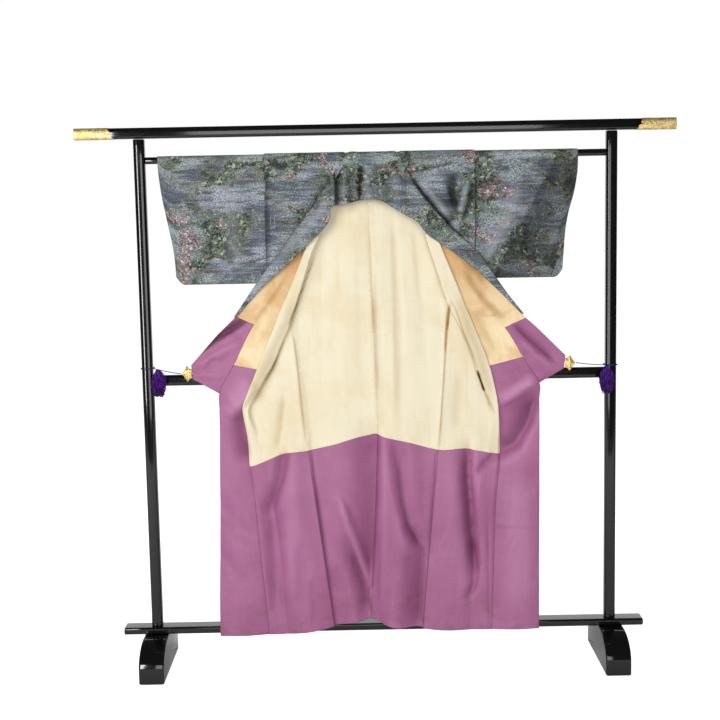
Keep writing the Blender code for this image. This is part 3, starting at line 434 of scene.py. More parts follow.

# %% [markdown]
# ## Lacquer and gilding
# The stand is wood under many thin coats of black lacquer, rubbed to a mirror. A dark base with a
# clear coat gives two reflections, one soft and one sharp, as the real coats do. Dust and rubbing
# only change the roughness a little. The caps and clips are gilt metal, stained brown in soft patches.

# %% Black lacquer
lacquer, tree, shader = new_finish("black_lacquer")
place = put(tree, "TexCoord").outputs["Object"]
smears = use(tree, mottle, {"Place": place, "Size": 5.0, "Low": 0.45, "High": 0.75})
dust = between(tree, noise(tree, place, 420.0, 1.0), 0.66, 0.74)
feed(tree, shader,
     Base_Color=lay(tree, colour(12, 12, 14), dust, 0.06, colour(96, 92, 88)),
     Roughness=calc(tree, "MULTIPLY_ADD", smears["Patches"], 0.05, 0.10),
     Specular_IOR_Level=0.35,
     Coat_Weight=calc(tree, "MULTIPLY_ADD", dust, -0.10, 0.55), Coat_Roughness=0.04)
ripple = noise(tree, place, 12.0, 1.0)
feed(tree, shader, Normal=bumps(tree, (ripple, 0.04, 0.004)))
print("finish:", lacquer.name)

# %% Gilt
def make_gilt(name, pale, brown, cover, patch_size):
    """Gilt metal: pale gold, stained brown in soft patches, engraved with scrolls and punched dots."""
    finish, tree, shader = new_finish(name)
    place = put(tree, "TexCoord").outputs["Object"]
    stain = use(tree, mottle, {"Place": place, "Size": patch_size, "Low": 0.42, "High": 0.60})
    punched = put(tree, "TexVoronoi", {"Vector": place, "Scale": 330.0}).outputs["Distance"]
    scroll = put(tree, "TexWave", {"Vector": place, "Scale": 46.0, "Distortion": 9.0, "Detail": 2.0,
                                   "Detail Scale": 3.0}, wave_type="RINGS").outputs["Fac"]
    engraved = between(tree, scroll, 0.42, 0.58)
    height = calc(tree, "ADD", times(tree, punched, 0.35), engraved)
    bronze = lay(tree, pale, stain["Patches"], cover, brown)
    feed(tree, shader,
         Base_Color=lay(tree, bronze, engraved, 0.30, colour(255, 238, 180)),
         Metallic=0.72,
         Roughness=calc(tree, "MULTIPLY_ADD", stain["Grain"], 0.20, 0.32),
         Normal=bumps(tree, (height, 0.35, 0.0006)))
    print("finish:", name)
    return finish


gilt = make_gilt("gilt", colour(248, 222, 156), colour(208, 164, 92), 1.0, 95.0)
clip_gilt = make_gilt("clip_gilt", colour(250, 220, 146), colour(178, 124, 58), 0.8, 150.0)

# %% [markdown]
# ## The linings
# The body is lined in cream silk, whose lower part is a separate mauve hem lining that shows when the
# skirt opens. The turned-out fronts have yellowed where they lay in the folds. These cloths are plain,
# so their looks are a fine weave, a satin sheen along the threads and stains that follow the cloth,
# with painted shade in the hollows of their folds and painted highlight on the ridges.

# %% Cream and aged linings
def cloth_marks(tree, thread, slub, seam_width):
    """What every cloth shares: its UV, its place, its threads and its seam lines."""
    cloth = put(tree, "UVMap", uv_map="cloth").outputs[0]
    place = put(tree, "TexCoord").outputs["Object"]
    edge = put(tree, "Attribute", attribute_name="edge").outputs["Fac"]
    threads = use(tree, weave, {"Cloth": cloth, "Thread": thread, "Slub": slub})
    return cloth, place, threads, use(tree, seams, {"Edge": edge, "Cloth": cloth, "Width": seam_width})


def folded(tree, base, dark, light, hollow_shade_share, ridge_highlight_share, line_highlight_share, tone):
    """Painted shade and light on a colour: darker where the cloth lies behind its neighbours, as painted
    shade in fold hollows, and lighter where it stands forward, as painted highlight on ridges. Along the
    listed lines a tone of -1 is a painted highlight, 1 the deepest darkening, painted shade on most lines
    and a stain on some, and 2 an open gap painted near black as the shadow inside it."""
    hollow, shade_and_stain = (put(tree, "Attribute", attribute_name=name).outputs["Fac"]
                     for name in ("hollow", "shade_and_stain"))
    # Painted shade in fold hollows and painted highlight on ridges, by the cloth's depth behind its
    # neighbours.
    base = lay(tree, base, between(tree, hollow, 0.0, 1.0), hollow_shade_share, dark, "MULTIPLY")
    base = lay(tree, base, between(tree, hollow, 0.0, -0.8), ridge_highlight_share, light)
    # Painted highlight along lines of negative strength. The other lines darken: painted shade on most lines,
    # stains and seam lines on some.
    base = lay(tree, base, between(tree, shade_and_stain, 0.0, -1.0), line_highlight_share, light)
    base = tint(tree, between(tree, shade_and_stain, 0.0, 1.0), base, tone, "MULTIPLY")
    # An open gap, painted near black as the shadow inside it.
    return tint(tree, between(tree, shade_and_stain, 1.0, 2.0), base, colour(36, 28, 24))


def make_lining(name, light, dark, spot, patch_size, share, seam_share, yellow):
    """Plain lining silk: mottled by age, spotted, with soft crumples and a fine weave, and with painted
    shade in its wrinkles and fold hollows and painted highlight on its ridges.
    """
    finish, tree, shader = new_finish(name)
    cloth, place, threads, seam = cloth_marks(tree, 0.0011, 0.8, 0.0026)
    stains = use(tree, mottle, {"Place": place, "Size": patch_size, "Low": 0.40, "High": 0.70})
    base = lay(tree, light, stains["Patches"], share, dark)
    drips = between(tree, noise(tree, place, (30.0, 30.0, 7.0), 3.0, 0.6), 0.56, 0.74)
    base = lay(tree, base, drips, 0.30, dark)
    specks = between(tree, noise(tree, place, 120.0), 0.70, 0.76)
    base = lay(tree, base, specks, 0.22, spot)
    base = lay(tree, base, threads["Shade"], 0.10, colour(120, 96, 60), "MULTIPLY")
    base = lay(tree, base, seam["Line"], seam_share, colour(190, 150, 100), "MULTIPLY")
    # Soft tan vertical streaks placed by noise: painted shade standing for the cloth's shallow wrinkles.
    streaks = between(tree, noise(tree, place, (30.0, 30.0, 1.6)), 0.50, 0.72)
    base = lay(tree, base, streaks, 0.10, colour(222, 196, 150), "MULTIPLY")
    height = put(tree, "SeparateXYZ", {"Vector": place}).outputs["Z"]
    yellowed = times(tree, between(tree, height, 1.08, 1.40), yellow)
    base = tint(tree, yellowed, base, colour(206, 164, 112), "MULTIPLY")
    # Painted shade in fold hollows and along the listed lines, painted highlight on ridges.
    base = folded(tree, base, colour(214, 192, 146), light, 0.30, 0.10, 0.22, colour(180, 152, 102))
    crumple = noise(tree, cloth, (24.0, 5.0), 3.0, 0.55, 0.6)
    cross = noise(tree, cloth, (9.0, 34.0), 2.0, 0.5, 1.2)
    feed(tree, shader, Base_Color=base, Roughness=0.74, Specular_IOR_Level=0.2, Sheen_Weight=0.04,
         Sheen_Roughness=0.5, Normal=bumps(tree, (crumple, 0.45, 0.006), (cross, 0.25, 0.004),
                                           (seam["Pucker"], 0.9, 0.005), (threads["Height"], 0.30, 0.0003)))
    print("finish:", name)
    return finish


cream = make_lining("cream_lining", colour(242, 233, 206), colour(233, 214, 174), colour(196, 158, 100),
                    5.0, 0.6, 0.20, 0.0)
aged = make_lining("aged_lining", colour(251, 229, 186), colour(229, 190, 140), colour(160, 112, 62),
                   9.0, 0.9, 0.10, 0.80)

# %% Mauve hem lining
mauve, tree, shader = new_finish("mauve_hem_lining")
cloth, place, threads, seam = cloth_marks(tree, 0.0009, 0.7, 0.0028)
fading = use(tree, mottle, {"Place": place, "Size": 3.5, "Low": 0.38, "High": 0.68})
base = tint(tree, fading["Patches"], colour(155, 88, 130), colour(168, 102, 143))
warps = noise(tree, cloth, (230.0, 6.0), 2.0, 0.7)
grain = between(tree, warps, 0.35, 0.65, 0.0, 0.055)
base = tint(tree, grain, base, colour(204, 146, 184))
hem_height = put(tree, "SeparateXYZ", {"Vector": place}).outputs["Z"]
soil = times(tree, between(tree, hem_height, 0.34, 0.13),
             between(tree, noise(tree, place, (16.0, 16.0, 26.0), 4.0, 0.65), 0.50, 0.66))
base = lay(tree, base, soil, 0.45, colour(128, 84, 84))
base = lay(tree, base, seam["Line"], 0.50, colour(90, 40, 66), "MULTIPLY")
# Painted shade in fold hollows and along the listed lines, painted highlight on ridges and lit facets.
base = folded(tree, base, colour(190, 160, 176), colour(200, 142, 178), 0.35, 0.22, 0.56,
              colour(148, 112, 138))
crumple = noise(tree, cloth, (13.0, 4.5), 3.0, 0.5, 0.8)
cross = noise(tree, cloth, (6.0, 17.0), 2.0, 0.5, 1.5)
feed(tree, shader, Base_Color=base, Roughness=0.50, Specular_IOR_Level=0.4, Anisotropic=0.4,
     Sheen_Weight=0.06, Sheen_Roughness=0.35, Sheen_Tint=colour(240, 200, 232),
     Normal=bumps(tree, (crumple, 0.55, 0.010), (cross, 0.35, 0.006), (seam["Pucker"], 0.5, 0.003),
                  (threads["Height"], 0.35, 0.0003)))
print("finish:", mauve.name)

# %% [markdown]
# ## The patterned silk
# The outside is a tapestry-woven silk: a grey-blue ground crossed by short level strokes like mist, with
# drifts of leaves, loose heads of rose flowers and mustard bars. The design here is built from rules,
# not from a picture: slow noise says where a drift lies, cells inside it make the leaves and petals, and
# stretched noise makes the strokes. All of it follows the cloth's own metres. Painted pixels could only
# show this cloth from one side.

# %% Silk ground
silk, tree, shader = new_finish("patterned_silk")
cloth, _, threads, seam = cloth_marks(tree, 0.0011, 1.0, 0.0022)
bent = tint(tree, 0.016, cloth, noise(tree, cloth, 32.0, output="Color"))
curled = tint(tree, 0.009, bent, noise(tree, cloth, 120.0, output="Color"))


def field(vector, x, y, shift, low, high, detail=2.0, roughness=0.55):
    """Soft patches: noise stretched by two scales and shifted, between two limits."""
    moved = put(tree, "Mapping", {"Vector": vector, "Scale": (x, y, 1.0),
                                  "Location": (shift, 1.7 * shift, 0.0)})
    return between(tree, noise(tree, moved.outputs[0], 1.0, detail, roughness), low, high)


def cells(vector, x, y, shift):
    """Cells of a stretched pattern: a random colour for each, and the distance to its edge."""
    moved = put(tree, "Mapping", {"Vector": vector, "Scale": (x, y, 1.0),
                                  "Location": (shift, shift, 0.0)}).outputs[0]
    cell = put(tree, "TexVoronoi", {"Vector": moved, "Scale": 1.0}).outputs
    edge = put(tree, "TexVoronoi", {"Vector": moved, "Scale": 1.0}, feature="DISTANCE_TO_EDGE").outputs
    tone = put(tree, "SeparateColor", {"Color": cell["Color"]}).outputs
    return tone, edge["Distance"]


mist = tint(tree, field(cloth, 4.0, 5.0, 83.0, 0.44, 0.58), colour(146, 158, 158), colour(150, 156, 170))
figure = tint(tree, field(cloth, 5.0, 16.0, 0.0, 0.40, 0.60, 3.0), colour(84, 93, 104), mist)
figure = lay(tree, figure, field(cloth, 9.0, 95.0, 7.0, 0.50, 0.66), 0.55, colour(160, 168, 172))
figure = lay(tree, figure, field(cloth, 7.0, 70.0, 3.0, 0.54, 0.66), 0.60, colour(60, 68, 76))
figure = lay(tree, figure, field(cloth, 5.0, 8.0, 61.0, 0.54, 0.64), 0.65, colour(44, 52, 58))

# %% Silk bars and pale lattice
bars, shade = (field(cloth, 10.0, 60.0, 11.0 + lift, 0.62, 0.64) for lift in (0.0, 0.10))
figure = lay(tree, figure, shade, 0.7, colour(56, 60, 58))
mustard = tint(tree, field(cloth, 40.0, 160.0, 2.0, 0.42, 0.58), colour(78, 92, 66), colour(138, 126, 94))
figure = lay(tree, figure, bars, 0.75, mustard)
tone, edge = cells(curled, 110.0, 130.0, 5.0)
lattice = tint(tree, between(tree, tone["Red"], 0.3, 0.8), colour(94, 106, 112), colour(112, 124, 118))
lattice = tint(tree, between(tree, edge, 0.20, 0.04), lattice, colour(158, 168, 166))
pale = field(bent, 8.0, 10.0, 23.0, 0.53, 0.60, 3.0, 0.6)
figure = lay(tree, figure, pale, 0.8, lattice)

# %% Silk leaves and flowers
tone, edge = cells(curled, 118.0, 132.0, 0.0)
leaves = tint(tree, between(tree, tone["Red"], 0.30, 0.90), colour(20, 28, 28), colour(80, 98, 78))
leaves = tint(tree, between(tree, tone["Green"], 0.86, 0.89), leaves, colour(170, 172, 148))
leaves = tint(tree, between(tree, tone["Blue"], 0.93, 0.96), leaves, colour(122, 114, 84))
leaves = lay(tree, leaves, between(tree, edge, 0.14, 0.03), 0.50, colour(134, 150, 138))
depths = field(bent, 17.0, 20.0, 41.0, 0.50, 0.58)
leaves = lay(tree, leaves, depths, 0.72, colour(34, 44, 44))
leaves = lay(tree, leaves, field(bent, 13.0, 15.0, 51.0, 0.53, 0.57), 0.60, colour(118, 134, 132))
rims = field(bent, 7.5, 9.5, 0.0, 0.495, 0.52, 3.5, 0.6)
figure = lay(tree, figure, rims, 0.50, mustard)
clumps = field(bent, 7.5, 9.5, 0.0, 0.525, 0.55, 3.5, 0.6)
figure = lay(tree, figure, clumps, 0.95, leaves)
stems = times(tree, field(bent, 150.0, 11.0, 71.0, 0.66, 0.70),
              field(cloth, 7.0, 9.0, 13.0, 0.48, 0.56))
figure = lay(tree, figure, stems, 0.60, colour(172, 178, 168))

tone, edge = cells(curled, 150.0, 170.0, 9.0)
rose = tint(tree, tone["Red"], colour(122, 92, 98), colour(190, 158, 158))
rose = tint(tree, between(tree, tone["Blue"], 0.80, 0.84), rose, colour(216, 206, 192))
rose = tint(tree, between(tree, tone["Green"], 0.84, 0.88), rose, colour(52, 46, 52))
rose = tint(tree, between(tree, edge, 0.10, 0.02), rose, colour(96, 78, 84))
heads = times(tree, field(bent, 11.0, 13.0, 31.0, 0.60, 0.625, 1.0),
              field(bent, 6.0, 8.0, 0.0, 0.44, 0.50))
figure = lay(tree, figure, heads, 0.7, rose)

# %% Silk speckle and surface
for scale, share, contrast in ((120.0, 0.45, 0.16), (240.0, 0.9, 0.13), (600.0, 0.7, 0.17)):
    speck = noise(tree, cloth, (scale, scale * 1.3), 2.0, 0.6)
    value = between(tree, speck, 0.5 - contrast, 0.5 + contrast, 0.24, 0.70)
    grey = put(tree, "CombineColor", {channel: value for channel in ("Red", "Green", "Blue")}).outputs[0]
    figure = tint(tree, share, figure, grey, "OVERLAY")
flecks = noise(tree, cloth, (190.0, 260.0), 1.0, output="Color")
figure = tint(tree, 0.25, figure, flecks, "OVERLAY")
gold = field(cloth, 260.0, 620.0, 4.0, 0.68, 0.74, 1.0)
figure = lay(tree, figure, gold, 0.35, colour(200, 180, 130))
figure = lay(tree, figure, seam["Line"], 0.6, colour(70, 70, 76), "MULTIPLY")
# Painted shade in fold hollows and along the listed lines, painted highlight on ridges and lit facets.
figure = folded(tree, figure, colour(118, 118, 126), colour(176, 180, 190), 0.55, 0.12, 0.30,
                colour(104, 102, 106))
relief = calc(tree, "MULTIPLY_ADD", speck, 1.2, threads["Height"])
crumple = noise(tree, cloth, (18.0, 7.0), 3.0, 0.5, 0.8)
feed(tree, shader, Base_Color=figure, Roughness=0.62, Specular_IOR_Level=0.3, Sheen_Weight=0.04,
     Normal=bumps(tree, (crumple, 0.45, 0.007), (seam["Pucker"], 0.5, 0.003), (relief, 0.4, 0.0004)))
print("finish:", silk.name, "nodes:", len(tree.nodes))

# %% [markdown]
# ## Violet silk thread
# Cords and tassels are twisted violet silk. Each thread is real geometry, so the material only needs
# the fibre's grain along it and the way colour deepens from strand to strand.

# %% Violet thread
violet, tree, shader = new_finish("violet_tassel")
place = put(tree, "TexCoord").outputs["Object"]
fibres = noise(tree, place, (1500.0, 1500.0, 120.0), 1.0)
tone = between(tree, noise(tree, place, (210.0, 210.0, 60.0)), 0.36, 0.64)
feed(tree, shader,
     Base_Color=tint(tree, tone, colour(26, 8, 44), colour(88, 38, 146)),
     Roughness=0.75, Specular_IOR_Level=0.15,
     Normal=bumps(tree, (fibres, 0.4, 0.0003)))
print("finish:", violet.name)


# %% Dark cord
cord_silk, tree, shader = new_finish("dark_cord")
place = put(tree, "TexCoord").outputs["Object"]
feed(tree, shader,
     Base_Color=tint(tree, noise(tree, place, 700.0, 1.0), colour(28, 26, 34), colour(62, 58, 70)),
     Roughness=0.6, Sheen_Weight=0.2)
print("finish:", cord_silk.name)

# %% [markdown]
# ## The hanging body, one half at a time
# Each half of the skirt is a run of flat stretches joined by folds: from the centre seam outwards to
# the side seam, the rolled pleat, the overlap seam and the front edge. A table gives the section at a
# few heights, and smooth curves through the table give the rest. Modelling the folds as one section
# keeps the four panels joined, where panels made one by one would drift apart at their seams.

# %% Section tables
def table(names, *rows):
    """A table's columns by name. Sizes are given in millimetres and kept in metres; turns are degrees."""
    columns = zip(names.split(), np.array(rows, float).T)
    return {name: given if name.endswith("turn") else given / 1000.0 for name, given in columns}


def read(columns, knots, places):
    """Every column of a table at some places, as smooth curves through its rows."""
    return {name: through(places, knots, given) for name, given in columns.items()}


PLY, FACE = 0.0012, 0.00015
LINING_SIDE, SILK_SIDE = (-FACE - PLY, -FACE), (FACE, FACE + PLY)
COLLAR_SIDE, SLEEVE_SIDE = (-0.0008, 0.0008), (-0.0007, 0.0007)
ROD_RADIUS, ROD_HEIGHT, GAP = 0.011, 1.651, 0.0003
OVER_ROD = ROD_RADIUS + GAP + FACE + PLY + 0.0001
NECKLINE_DROP, FOLD_ROUND, EDGE_FOLD_ROUND, TUCK_MARGIN = 0.018, 0.003, 0.002, 0.012

# Where the hanging cloth lies in depth: forward of the rod's axis, by height.
HANG_HEIGHT = (0.10, 0.40, 0.70, 0.95, 1.13, 1.30, 1.50, 1.60, 1.651)
HANG_FORWARD = (0.045, 0.037, 0.028, 0.0205, 0.0110, 0.0020, -0.0075, -0.0113, -OVER_ROD)

BODY_COLUMNS = ("z centre side roll edge front side_turn side_run roll_turn roll_run edge_turn edge_run "
                "back_swell face_swell overlap_swell front_forward")
BODY = {
    LEFT: table(
        BODY_COLUMNS,
        (120, 41, 160, 330, 362, 531, 178, 40, 0, 3, 20, 3, 16, 12, 10, 54),
        (250, 33, 176, 336, 371, 529, 175, 32, 0, 3, 20, 3, 14, 11, 10, 52),
        (400, 23, 195, 345, 383, 524, 165, 20, 0, 3, 20, 3, 12, 10, 9, 47),
        (550, 15, 214, 366, 394, 520, 120, 6, 0, 3, 25, 3, 9, 8, 8, 41),
        (700, 9, 233, 392, 412, 517, 35, 3, 0, 3, 45, 3, 5, 6, 7, 36),
        (800, 8, 243, 410, 427, 514, 15, 3, 35, 3, 110, 4, 3, 3, 6, 33),
        (870, 9, 249, 419, 437, 513, 15, 3, 150, 3, 165, 8, 3, 2, 6, 30),
        (915, 11, 253, 393, 420, 512, 15, 3, 175, 3, 178, 10, 3, 2, 4, 27),
        (985, 12, 259, 348, 389, 464, 15, 3, 175, 4, 178, 14, 3, 2, 2, 26),
        (1060, 14, 268, 314, 358, 434, 15, 3, 178, 4, 178, 16, 2, 1, 2, 24),
        (1130, 17, 273, 282, 327, 396, 10, 3, 178, 5, 178, 18, 2, 0, 2, 20),
        (1146, 17, 274, 277, 321, 386, 10, 3, 178, 9, 178, 16, 2, 0, 2, 19),
        (1210, 18, 254, 256, 292, 341, 10, 3, 178, 6, 178, 12, 2, 0, 1, 17),
        (1290, 20, 227, 229, 257, 286, 10, 3, 178, 4, 178, 5, 2, 0, 0, 13),
        (1365, 22, 201, 203, 227, 246, 10, 3, 178, 4, 178, 3, 1, 0, 0, 10),
        (1405, 23, 182, 184, 214, 228, 10, 3, 178, 4, 178, 3, 1, 0, 0, 9)),
    RIGHT: table(
        BODY_COLUMNS,
        (120, -41, 127, 300, 338, 504, 178, 30, 0, 3, 20, 3, 34, 12, 8, 54),
        (250, -33, 139, 305, 343, 505, 175, 26, 0, 3, 20, 3, 30, 11, 8, 52),
        (400, -23, 154, 314, 349, 506, 165, 18, 0, 3, 20, 3, 25, 10, 7, 47),
        (550, -15, 169, 324, 356, 508, 120, 6, 0, 3, 25, 3, 18, 8, 7, 41),
        (700, -9, 184, 350, 374, 509, 35, 3, 0, 3, 45, 3, 10, 6, 6, 36),
        (800, -8, 194, 362, 379, 510, 15, 3, 35, 3, 110, 4, 6, 3, 5, 33),
        (870, -9, 201, 350, 374, 510, 15, 3, 140, 3, 165, 8, 5, 2, 5, 30),
        (928, -11, 205, 329, 364, 510, 15, 3, 172, 3, 178, 10, 4, 2, 4, 27),
        (990, -12, 209, 308, 350, 459, 15, 3, 175, 4, 178, 16, 3, 2, 2, 26),
        (1050, -13, 212, 286, 327, 436, 15, 3, 178, 4, 178, 18, 3, 1, 2, 24),
        (1105, -16, 215, 263, 305, 402, 15, 3, 178, 5, 178, 20, 2, 0, 2, 21),
        (1190, -18, 213, 220, 270, 335, 10, 3, 178, 4, 178, 20, 2, 0, 1, 17),
        (1206, -18, 214, 215, 264, 323, 10, 3, 178, 10, 178, 20, 2, 0, 1, 16),
        (1280, -20, 192, 192, 235, 266, 10, 3, 178, 12, 178, 14, 2, 0, 0, 13),
        (1365, -22, 165, 165, 201, 224, 10, 3, 178, 12, 178, 10, 1, 0, 0, 10),
        (1405, -23, 152, 152, 186, 203, 10, 3, 178, 12, 178, 6, 1, 0, 0, 9)),
}

HEM_LINING_ROW, COLLAR_ROW, OVERLAP_HEM_LINING_ROW, COLLAR_HEM_LINING_ROW = 4, 7, 8, 10
SEAM_TOP_ROW = {LEFT: 10, RIGHT: 11}
FRONT_LIFT, SEAM_TOP_STEP, SEAM_TOP_RISE = 0.0045, 0.0040, 0.016

# %% Edge tables
BACK_SPREAD = table(
    "z centre_x left_side right_side",
    (1240, -19, 312, 246),
    (1310, -21, 335, 291),
    (1400, -24, 346, 306),
    (1510, -28, 346, 308),
    (1610, -30, 345, 308))

EDGE_LINES = table(
    "x hem hem_lining",
    (-540, 119, 660),
    (-413, 121, 674),
    (-307, 124, 713),
    (-236, 131, 721),
    (-160, 144, 736),
    (-60, 161, 762),
    (-40, 164, 765),
    (-12, 157, 769),
    (4, 149, 762),
    (35, 141, 753),
    (83, 136, 743),
    (186, 128, 716),
    (267, 126, 718),
    (377, 125, 698),
    (540, 124, 690))
OVERLAP_HEM_LINING_HEIGHT = {LEFT: (0.982, 1.002), RIGHT: (0.979, 1.011)}

COLLAR_COLUMNS = "free_out free_z free_forward"
COLLAR = {
    LEFT: table(
        COLLAR_COLUMNS,
        (596, 959, 26),
        (599, 1004, 26),
        (515, 1096, 24),
        (452, 1156, 21.5),
        (439, 1174, 21),
        (390, 1244, 19),
        (329, 1320, 15),
        (279, 1388, 13),
        (251, 1425, 12)),
    RIGHT: table(
        COLLAR_COLUMNS,
        (588, 970, 26),
        (594, 1013, 26),
        (500, 1107, 24),
        (468, 1135, 22.5),
        (390, 1233, 19),
        (377, 1249, 18),
        (320, 1321, 14.5),
        (246, 1400, 12.5),
        (227, 1426, 12)),
}

# %% [markdown]
# ## Creases
# Silk that hangs from two clips is never smooth. Each crease here has its own line, width and depth,
# listed one by one: a trough has a soft section like a bell, and a ridge is one turned over. All of
# them move the cloth forward or back by its place as seen from the front, so every layer at that place
# moves together and none is pushed through another. A cloth simulation would find folds of its own and
# not the ones this garment has.

# %% Crease tools
def along_line(x, z, line):
    """For every point, its distance from a bent line, the side it lies on, and its share along it."""
    line = np.asarray(line, float)
    lengths = np.linalg.norm(np.diff(line, axis=0), axis=1)
    starts = np.concatenate([[0.0], np.cumsum(lengths)]) / lengths.sum()
    best, side, share = np.full(x.shape, 1e9), np.ones(x.shape), np.zeros(x.shape)
    for i, (a, b) in enumerate(zip(line[:-1], line[1:])):
        dx, dz = (b - a) / lengths[i]
        along = (x - a[0]) * dx + (z - a[1]) * dz
        across = (x - a[0]) * dz - (z - a[1]) * dx
        held = np.clip(along, 0.0, lengths[i])
        gap = np.hypot(along - held, across)
        near = gap < best
        best = np.where(near, gap, best)
        side = np.where(near, np.sign(across), side)
        share = np.where(near, starts[i] + (along / lengths[i]) * (starts[i + 1] - starts[i]), share)
    return best, side, share


def crease(x, z, width, depth, line):
    """Forward distance of one crease: depth * exp(-(gap / width)^2), so a negative depth is a trough and
    a positive one a ridge. A pair of widths is for the side towards -X and the side towards +X of a line
    that runs down. Both ends of the line fade to nothing."""
    gap, side, share = along_line(x, z, line)
    width = np.where(side > 0.0, *np.broadcast_to(width, 2))
    ends = eased(np.clip(np.minimum(share + 0.12, 1.12 - share) / 0.32, 0.0, 1.0))
    return depth * ends * np.exp(-(gap / width) ** 2)


def lines(unit_depth, *rows):
    """Rows of width or widths, depth and points (x, height), turned from millimetres into metres. A
    depth is divided by its own unit: 1000 for millimetres, 1 for a plain strength."""
    return [(np.array(width) / 1000.0, depth / unit_depth, np.array(points) / 1000.0)
            for width, depth, *points in rows]


# %% The body's creases
BODY_CREASES = lines(
    1000.0,
    # The turned-out left front: a deep fold beside the lining's edge, and faint pulls to the clip.
    ((30, 12), 12, (-400, 930), (-440, 880), (-476, 832)),
    ((34, 10), -16, (-440, 860), (-438, 790), (-418, 695)),
    ((16, 24), -5, (-528, 590), (-500, 530), (-455, 480), (-412, 445)),
    ((12, 22), -4, (-515, 500), (-470, 440), (-420, 400)),
    ((14, 22), -4.5, (-520, 400), (-480, 335), (-440, 290)),
    # The left front panel between its two seams.
    ((28, 14), -17, (-303, 730), (-318, 640), (-343, 570), (-362, 520)),
    ((30, 26), -15, (-352, 560), (-346, 460), (-345, 350), (-343, 180)),
    ((26, 40), 6, (-285, 700), (-284, 500), (-290, 330)),
    (20, -4.5, (-270, 420), (-262, 330), (-268, 220)),
    (12, -4, (-228, 300), (-222, 150)),
    # The left back panel falls away to the centre seam, with a slanting ridge across the hollow.
    ((66, 11), -25, (-12, 790), (-16, 690), (-21, 560), (-31, 420), (-43, 270)),
    ((22, 13), 12, (-138, 570), (-105, 470), (-75, 390), (-48, 300)),
    ((34, 12), -16, (-118, 440), (-86, 345), (-58, 260), (-50, 180)),
    ((20, 30), 6, (-212, 700), (-190, 520), (-150, 300)),
    # The right back panel: a broad bright ridge beside the seam, then a long bent valley.
    ((11, 26), 9, (10, 760), (9, 600), (4, 420), (-8, 200)),
    ((20, 32), -20, (48, 750), (55, 660), (68, 540), (83, 470), (111, 415), (136, 370)),
    ((60, 11), -20, (128, 390), (122, 280), (116, 130)),
    # The right front panel and its long valley that hooks back near the hem.
    ((36, 11), -24, (284, 745), (284, 620), (289, 530), (291, 458), (297, 392), (301, 320)),
    ((18, 10), -13, (297, 420), (302, 332), (297, 272), (272, 228)),
    ((12, 26), 6, (312, 640), (316, 500), (322, 360)),
    (6, -3.5, (340, 468), (342, 352), (343, 132)),
    (12, -8, (372, 705), (335, 672), (298, 636)),
    # The turned-out right front: a lit facet below the clip, a deep slanting fold, one level crease.
    ((34, 14), 15, (505, 945), (430, 890), (375, 862)),
    ((60, 14), -24, (502, 900), (478, 800), (438, 728), (380, 690)),
    (4, -2.2, (358, 459), (429, 455), (502, 452)),
    (6, 1.8, (352, 476), (429, 473), (502, 470)),
    # The linings of the back and the fronts, above.
    ((22, 5), -6, (-303, 908), (-309, 868), (-318, 794), (-332, 724)),
    ((8, 34), -9, (-330, 1030), (-368, 950), (-404, 885)),
    (24, -6, (255, 975), (245, 880), (240, 772)),
    (7, -6, (308, 985), (322, 940), (340, 890)),
    (22, -4, (40, 1480), (51, 1300), (54, 1039)),
    (14, 3, (66, 1480), (78, 1300), (90, 1050)),
    (24, -3, (-186, 1393), (-192, 1250), (-199, 1108)),
    (30, 3, (-85, 1420), (-95, 1150), (-100, 900)),
    (20, -3.5, (120, 1440), (138, 1200), (150, 860)),
    ((14, 6), -4.5, (-36, 1500), (-26, 1400), (-18, 1200)))

# Pulls that fan out from the clips over the turned-out collar, and fade at both of its long edges.
COLLAR_CREASES = lines(
    1000.0,
    ((12, 16), 6, (-440, 1075), (-500, 1048), (-580, 998)),
    (6, -3, (-491, 1012), (-520, 1020), (-550, 1012)),
    ((16, 10), -5, (-420, 1140), (-480, 1110), (-570, 1045)),
    (10, 4, (-500, 972), (-540, 970), (-580, 975)),
    (12, -4, (-420, 1060), (-440, 1090), (-470, 1120)),
    ((9, 22), -10, (428, 1120), (470, 1075), (512, 1037), (556, 996)),
    (11, 5, (455, 1060), (500, 1015), (555, 975)),
    (6, -3, (455, 1030), (480, 1022), (520, 1030)))
